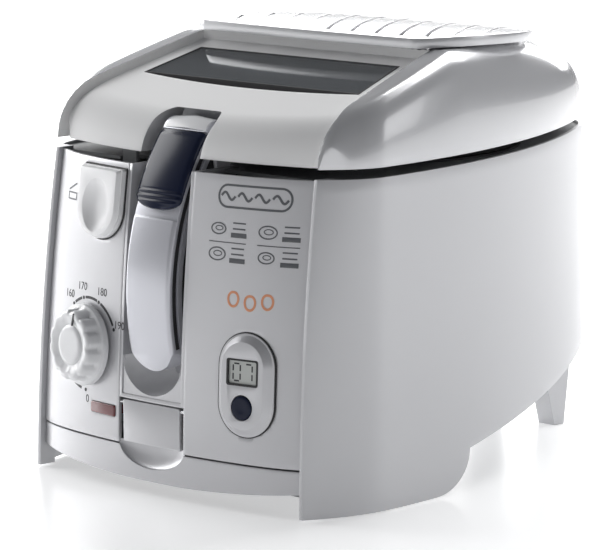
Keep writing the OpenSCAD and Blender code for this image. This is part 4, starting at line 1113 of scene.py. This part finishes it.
def makeButton():
    outer = buttonShape(0)
    piece = facePrism("releaseButton", outer, buttonSpot, *button["base"], whitePlastic)
    dish = fingerDish()
    join(piece, faceLoft("raised", [(scaled(outer, kx, ky), h) for kx, ky, h in button["steps"]], buttonSpot))
    cut(piece, dish)
    soften(piece, 0.9, 30, 3)
    finishPiece(piece, "button", "white_plastic", "release_button")
    gap = facePrism("buttonGap", buttonShape(button["gapOut"]), buttonSpot, -1, 0.25, blackPlastic)
    cut(gap, facePrism("gapHole", buttonShape(button["gapIn"]), buttonSpot, -3, 3))
    soften(gap, 0, 40)
    finishPiece(gap, "housing", "black_plastic")


timer = dict(base=(40, 62), pod=((38.6, 60.6, 0.2), (36.5, 58.5, 1.4), (31.5, 53.5, 4.6), (30.2, 52.2, 5.2)),
             hollow=(27, 49), gap=(41.4, 63.4), display=(22, 15.5, 1), displayUp=8, keyHole=7.7, keyDown=-13,
             rim=(22.6, 16, 1.4), rimHole=(20.4, 13.8, 1),
             key=((8.8, 0.2), (8.8, 1.3), (7.25, 1.5), (7.2, 5.2), (6.8, 5.85), (5.5, 6.1), (3, 5.8), (1, 5.7)),
             digits="07", digitH=10.2, stroke=0.95, pitch=8.6, digitX=-7.2, strokeGap=0.75)
digitStrokes = {"0": "abcdef", "7": "abc"}
strokeEnds = {"a": ((0, 1), (0.5, 1)), "b": ((0.5, 1), (0.5, 0.5)), "c": ((0.5, 0.5), (0.5, 0)),
              "d": ((0.5, 0), (0, 0)), "e": ((0, 0), (0, 0.5)), "f": ((0, 0.5), (0, 1))}


def makeTimer():
    t, spot = timer, spots["timer"]
    up, down = (0, t["displayUp"]), (0, t["keyDown"])
    base = facePrism("timerBezel", ovalShape(*t["base"], 32), spot, -7, 0.6, pearlPanel)
    join(base, faceLoft("face", [(ovalShape(w, h, 32), out) for w, h, out in t["pod"]], spot))
    cut(base, facePrism("hollow", ovalShape(*t["hollow"], 32), spot, -8, 2.6))
    cut(base, facePrism("displayHole", roundedBox(*t["display"]), spot, -8, 12, None, up))
    cut(base, facePrism("keyHole", circleShape(t["keyHole"], 48), spot, -8, 12, None, down))
    soften(base, 0.8, 30, 3)
    finishPiece(base, "housing", "pearl_plastic", "timer_bezel")
    gap = facePrism("timerGap", ovalShape(*t["gap"], 32), spot, -1, 0.25, blackPlastic)
    rim = facePrism("displayRim", roundedBox(*t["rim"]), spot, 3.2, 5.5, blackPlastic, up)
    cut(rim, facePrism("rimHole", roundedBox(*t["rimHole"]), spot, 2, 9, None, up))
    for piece in (gap, rim):
        soften(piece, 0, 40)
        finishPiece(piece, "housing", "black_plastic")
    key = revolveOnFace("timerButton", t["key"], spot, navyPlastic, 64, None, down)
    soften(key, 0, 34)
    finishPiece(key, "timer_key", "navy_plastic", "timer_button")


def makeDigits():
    # seven-stroke digits on the timer's display, each stroke a thin bar
    t, half = timer, timer["stroke"] / 2
    for k, digit in enumerate(t["digits"]):
        for stroke in digitStrokes[digit]:
            (x0, y0), (x1, y1) = [(t["digitX"] + k * t["pitch"] + x * t["digitH"],
                                   t["displayUp"] + (y - 0.5) * t["digitH"]) for x, y in strokeEnds[stroke]]
            length = math.hypot(x1 - x0, y1 - y0)
            ux, uy = (x1 - x0) / length, (y1 - y0) / length
            x0, y0 = x0 + ux * t["strokeGap"], y0 + uy * t["strokeGap"]
            x1, y1 = x1 - ux * t["strokeGap"], y1 - uy * t["strokeGap"]
            shape = [(x0 - uy * half, y0 + ux * half), (x0 + uy * half, y0 - ux * half),
                     (x1 + uy * half, y1 - ux * half), (x1 - uy * half, y1 + ux * half)]
            name = "timerDigit_" + str(k) + stroke
            finishPiece(facePrism(name, shape, spots["timer"], 4.1, 4.3, printInk), "housing", "lcd")


makeKnob()
makeDial()
makeLens()
makeButton()
makeTimer()
makeDigits()
print("controls done")


# generic marks on the panel: a badge, a chart, three drops and a lid sign
badge = dict(spot=(74, 188), size=(50, 13, 6.3), line=1.3, waves=4, waveLine=1.5)
chart = dict(x=57, z=168, pitchX=35, pitchZ=15, wide=10.5, wider=1.5, ruleZ=160.6)
drops = dict(x=64.5, z=129.5, pitch=12, r=3.36, tall=1.25, line=1.5)
lidSign = dict(spot=(-88.5, 176), box=[(-5, -4), (5, -4), (5, 0), (-5, 0)], flap=[(-5, 1.5), (4.5, 6)])


def makeBadge():
    printLine("badgeOutline", badge["spot"], roundedBox(*badge["size"]), badge["line"], closed=True)
    for k in range(badge["waves"]):
        turns = [i / 16 for i in range(17)]
        wave = [(-18 + 12 * k + 5 * (t * 2 - 1), 2.2 * math.sin(math.pi * 2 * t)) for t in turns]
        printLine("badgeWave" + str(k), badge["spot"], wave, badge["waveLine"])


def makeChart():
    c = chart
    for row in range(2):
        for column in range(2):
            spot = (c["x"] + c["pitchX"] * column, c["z"] - c["pitchZ"] * row)
            wide = c["wide"] + c["wider"] * ((row + column) % 2)
            tag = str(row) + str(column)
            printLine("foodShape_" + tag, spot, circleShape(wide / 2, 32, -6.5, 0.5, 0.62), 0.8, closed=True)
            printLine("foodInner_" + tag, spot, circleShape(wide / 4, 24, -6.0, 0.8, 0.5), 0.6, closed=True)
            for k in range(2):
                high = 4.4 - 3.4 * k
                printLine("foodTick_" + tag + str(k), spot, [(4, high), (13, high)], 0.9)
            printShape("foodBar_" + tag, spot, [(3, -4.2), (14, -4.2), (14, -1.4), (3, -1.4)], greyInk, 0.22)
    for column in range(2):
        printLine("foodRule" + str(column), (c["x"] + c["pitchX"] * column, c["ruleZ"]), [(-13, 0), (14, 0)], 0.6)


def makeDrops():
    for k in range(3):
        drop = []
        for i in range(40):
            a = 2 * math.pi * i / 40
            r = drops["r"] * (1 - 0.45 * math.sin(a))
            drop.append((r * math.cos(a), r * math.sin(a) * drops["tall"]))
        spot = (drops["x"] + drops["pitch"] * k, drops["z"] - 1.5 * (k % 2))
        printLine("oilDrop" + str(k), spot, drop, drops["line"], orangeInk, closed=True)


makeBadge()
makeChart()
makeDrops()
printLine("lidIconBox", lidSign["spot"], lidSign["box"], 1.0, closed=True)
printLine("lidIconLid", lidSign["spot"], lidSign["flap"], 1.1)
print("prints done")


# wire basket, tilted in the bowl
basket = dict(tilt=math.radians(10), y=185, z=70, radius=87, low=10.8, high=68, ribs=72, wire=0.5,
              hub=((8.2, 10.2), (17.5, 10.2), (18, 11.4), (16.5, 12.4), (14, 22), (12.5, 25), (8, 25.6), (0.5, 25.8)))


def tiltedPoint(x, y, z):
    c, s = math.cos(basket["tilt"]), math.sin(basket["tilt"])
    return (x, basket["y"] + y * c - z * s, basket["z"] + y * s + z * c)


def wire(path, r, closed, sides):
    # a round wire along a path, as points and faces
    points, faces = [], []
    n = len(path)
    vectors = [Vector(p) for p in path]
    for i, p in enumerate(vectors):
        if closed:
            along = vectors[(i + 1) % n] - vectors[i - 1]
        else:
            along = vectors[min(n - 1, i + 1)] - vectors[max(0, i - 1)]
        along.normalize()
        steep = abs(along.z) > 0.9
        sideways = along.orthogonal().normalized() if steep else along.cross(Vector((0, 0, 1))).normalized()
        up = along.cross(sideways)
        points += [p + x * sideways + y * up for x, y in circleShape(r, sides)]
    for i in range(n if closed else n - 1):
        for k in range(sides):
            a, b = i * sides + k, i * sides + (k + 1) % sides
            c, d = (i + 1) % n * sides + k, (i + 1) % n * sides + (k + 1) % sides
            faces.append((a, c, d, b))
    return points, faces


def basketPaths():
    # every wire of the basket as path, radius, closed and number of sides
    radius, low, high, fine = basket["radius"], basket["low"], basket["high"], basket["wire"]

    def hoop(r, z, thick, n=96, sides=6):
        return [(x, y, z) for x, y in circleShape(r, n)], thick, True, sides
    hoops = ((high - 1.2, 92.4, 1.5), (high - 8, radius, 0.9), (low + 20, radius, 0.8), (low + 38, radius, 0.8),
             (low + 1, radius, 1.2))
    paths = [hoop(r, z, thick) for z, r, thick in hoops]
    rib = ((92, high - 1.5), (88, high - 3), (radius, high - 6), (radius, low + 3), (radius - 2, low + 1),
           (18, low + 1.0))
    for k in range(basket["ribs"]):
        a = 2 * math.pi * k / basket["ribs"]
        paths.append(([(r * math.cos(a), r * math.sin(a), z) for r, z in rib], 0.55, False, 5))
    paths += [hoop(r, low + 1.8, fine, 72, 5) for r in range(22, 86, 5)]
    return paths + [hoop(radius, z, fine, 96, 5) for z in range(16, 66, 5)]


def makeBasket():
    points, faces = [], []
    for path, r, closed, sides in basketPaths():
        more, rows = wire([tiltedPoint(*p) for p in path], r, closed, sides)
        faces += [tuple(len(points) + k for k in row) for row in rows]
        points += more
    cage = makeObject("basketWire", points, faces, chromeWire)
    soften(cage, 0, 60)
    n = 48
    rings = [[tiltedPoint(x, y, z) for x, y in circleShape(r, n)] for r, z in basket["hub"]]
    hub = makeObject("basketHub", [p for ring in rings for p in ring], stitch(len(rings), n), brushedSteel)
    soften(hub, 0, 40)
    finishPiece(cage, "basket_body", "chrome", "basket")
    finishPiece(hub, "basket_body", "chrome")


makeBasket()
print("basket done")


# floor, light and camera, in metres
floor = dict(radius=14, color=(0.86, 0.865, 0.87, 1), rough=0.28, glowNear=0.42, glowFar=1.0, near=0.5, far=2.0)
world = dict(color=(0.93, 0.95, 1.0, 1), strength=0.13)
lamps = {"keyLeft": ((-2.0, -0.35, 0.9), (0, 0, 0.12), (1.7, 1.5), 44),
         "topBack": ((-0.25, 1.45, 1.7), (0, 0, 0.15), (1.5, 1.2), 42),
         "lowBack": ((-2.3, 2.4, 0.95), (0, 0, 0.25), (3.0, 1.0), 34),
         "sideGlint": ((2.6, 2.2, 1.0), (0.1, 0, 0.15), (1.0, 1.2), 6)}
view = dict(azimuth=45.24, elevation=9.237, roll=-0.493, at=(1.7421, -1.6132 - midY * 0.001, 0.5199), lens=241.5)


def makeFloor():
    # pale floor that glows a little more with distance, so that it fades to white
    material = bpy.data.materials.new("studioFloor")
    material.use_nodes = True
    nodes, links = material.node_tree.nodes, material.node_tree.links
    shader = nodes["Principled BSDF"]
    shader.inputs["Base Color"].default_value = floor["color"]
    shader.inputs["Roughness"].default_value = floor["rough"]
    shader.inputs["Emission Color"].default_value = (1, 1, 1, 1)
    where = nodes.new("ShaderNodeTexCoord")
    away = nodes.new("ShaderNodeVectorMath")
    away.operation = "LENGTH"
    glow = nodes.new("ShaderNodeMapRange")
    glow.inputs["From Min"].default_value = floor["near"]
    glow.inputs["From Max"].default_value = floor["far"]
    glow.inputs["To Min"].default_value = floor["glowNear"]
    glow.inputs["To Max"].default_value = floor["glowFar"]
    links.new(where.outputs["Object"], away.inputs[0])
    links.new(away.outputs["Value"], glow.inputs["Value"])
    links.new(glow.outputs["Result"], shader.inputs["Emission Strength"])
    n = 96
    mesh = bpy.data.meshes.new("studioFloor")
    mesh.from_pydata([(x, y, 0) for x, y in circleShape(floor["radius"], n)], [], [tuple(range(n))])
    ground = bpy.data.objects.new("studioFloor", mesh)
    scene.collection.objects.link(ground)
    mesh.materials.append(material)


def makeCamera():
    az, el, roll = (math.radians(view[k]) for k in ("azimuth", "elevation", "roll"))
    forward = Vector((-math.sin(az) * math.cos(el), math.cos(az) * math.cos(el), -math.sin(el)))
    right = Vector((math.cos(az), math.sin(az), 0))
    up = right.cross(forward)
    rolledRight = right * math.cos(roll) + up * math.sin(roll)
    rolledUp = -right * math.sin(roll) + up * math.cos(roll)
    camera = bpy.data.cameras.new("camera")
    camera.lens = view["lens"]
    camera.sensor_width = 36
    camera.clip_end = 50
    thing = bpy.data.objects.new("camera", camera)
    scene.collection.objects.link(thing)
    turn = Matrix((rolledRight, rolledUp, -forward)).transposed().to_4x4()
    thing.matrix_world = Matrix.Translation(Vector(view["at"])) @ turn
    scene.camera = thing


def makeLights():
    sky = bpy.data.worlds.new("studio")
    scene.world = sky
    scene.view_settings.view_transform = "Standard"
    sky.use_nodes = True
    sky.node_tree.nodes["Background"].inputs["Color"].default_value = world["color"]
    sky.node_tree.nodes["Background"].inputs["Strength"].default_value = world["strength"]
    for name, (at, target, size, power) in lamps.items():
        light = bpy.data.lights.new(name, "AREA")
        light.shape = "RECTANGLE"
        light.size, light.size_y = size
        light.energy = power
        thing = bpy.data.objects.new(name, light)
        scene.collection.objects.link(thing)
        thing.location = at
        thing.rotation_euler = (Vector(target) - Vector(at)).to_track_quat("-Z", "Y").to_euler()


makeFloor()
makeCamera()
makeLights()
print("stage done")
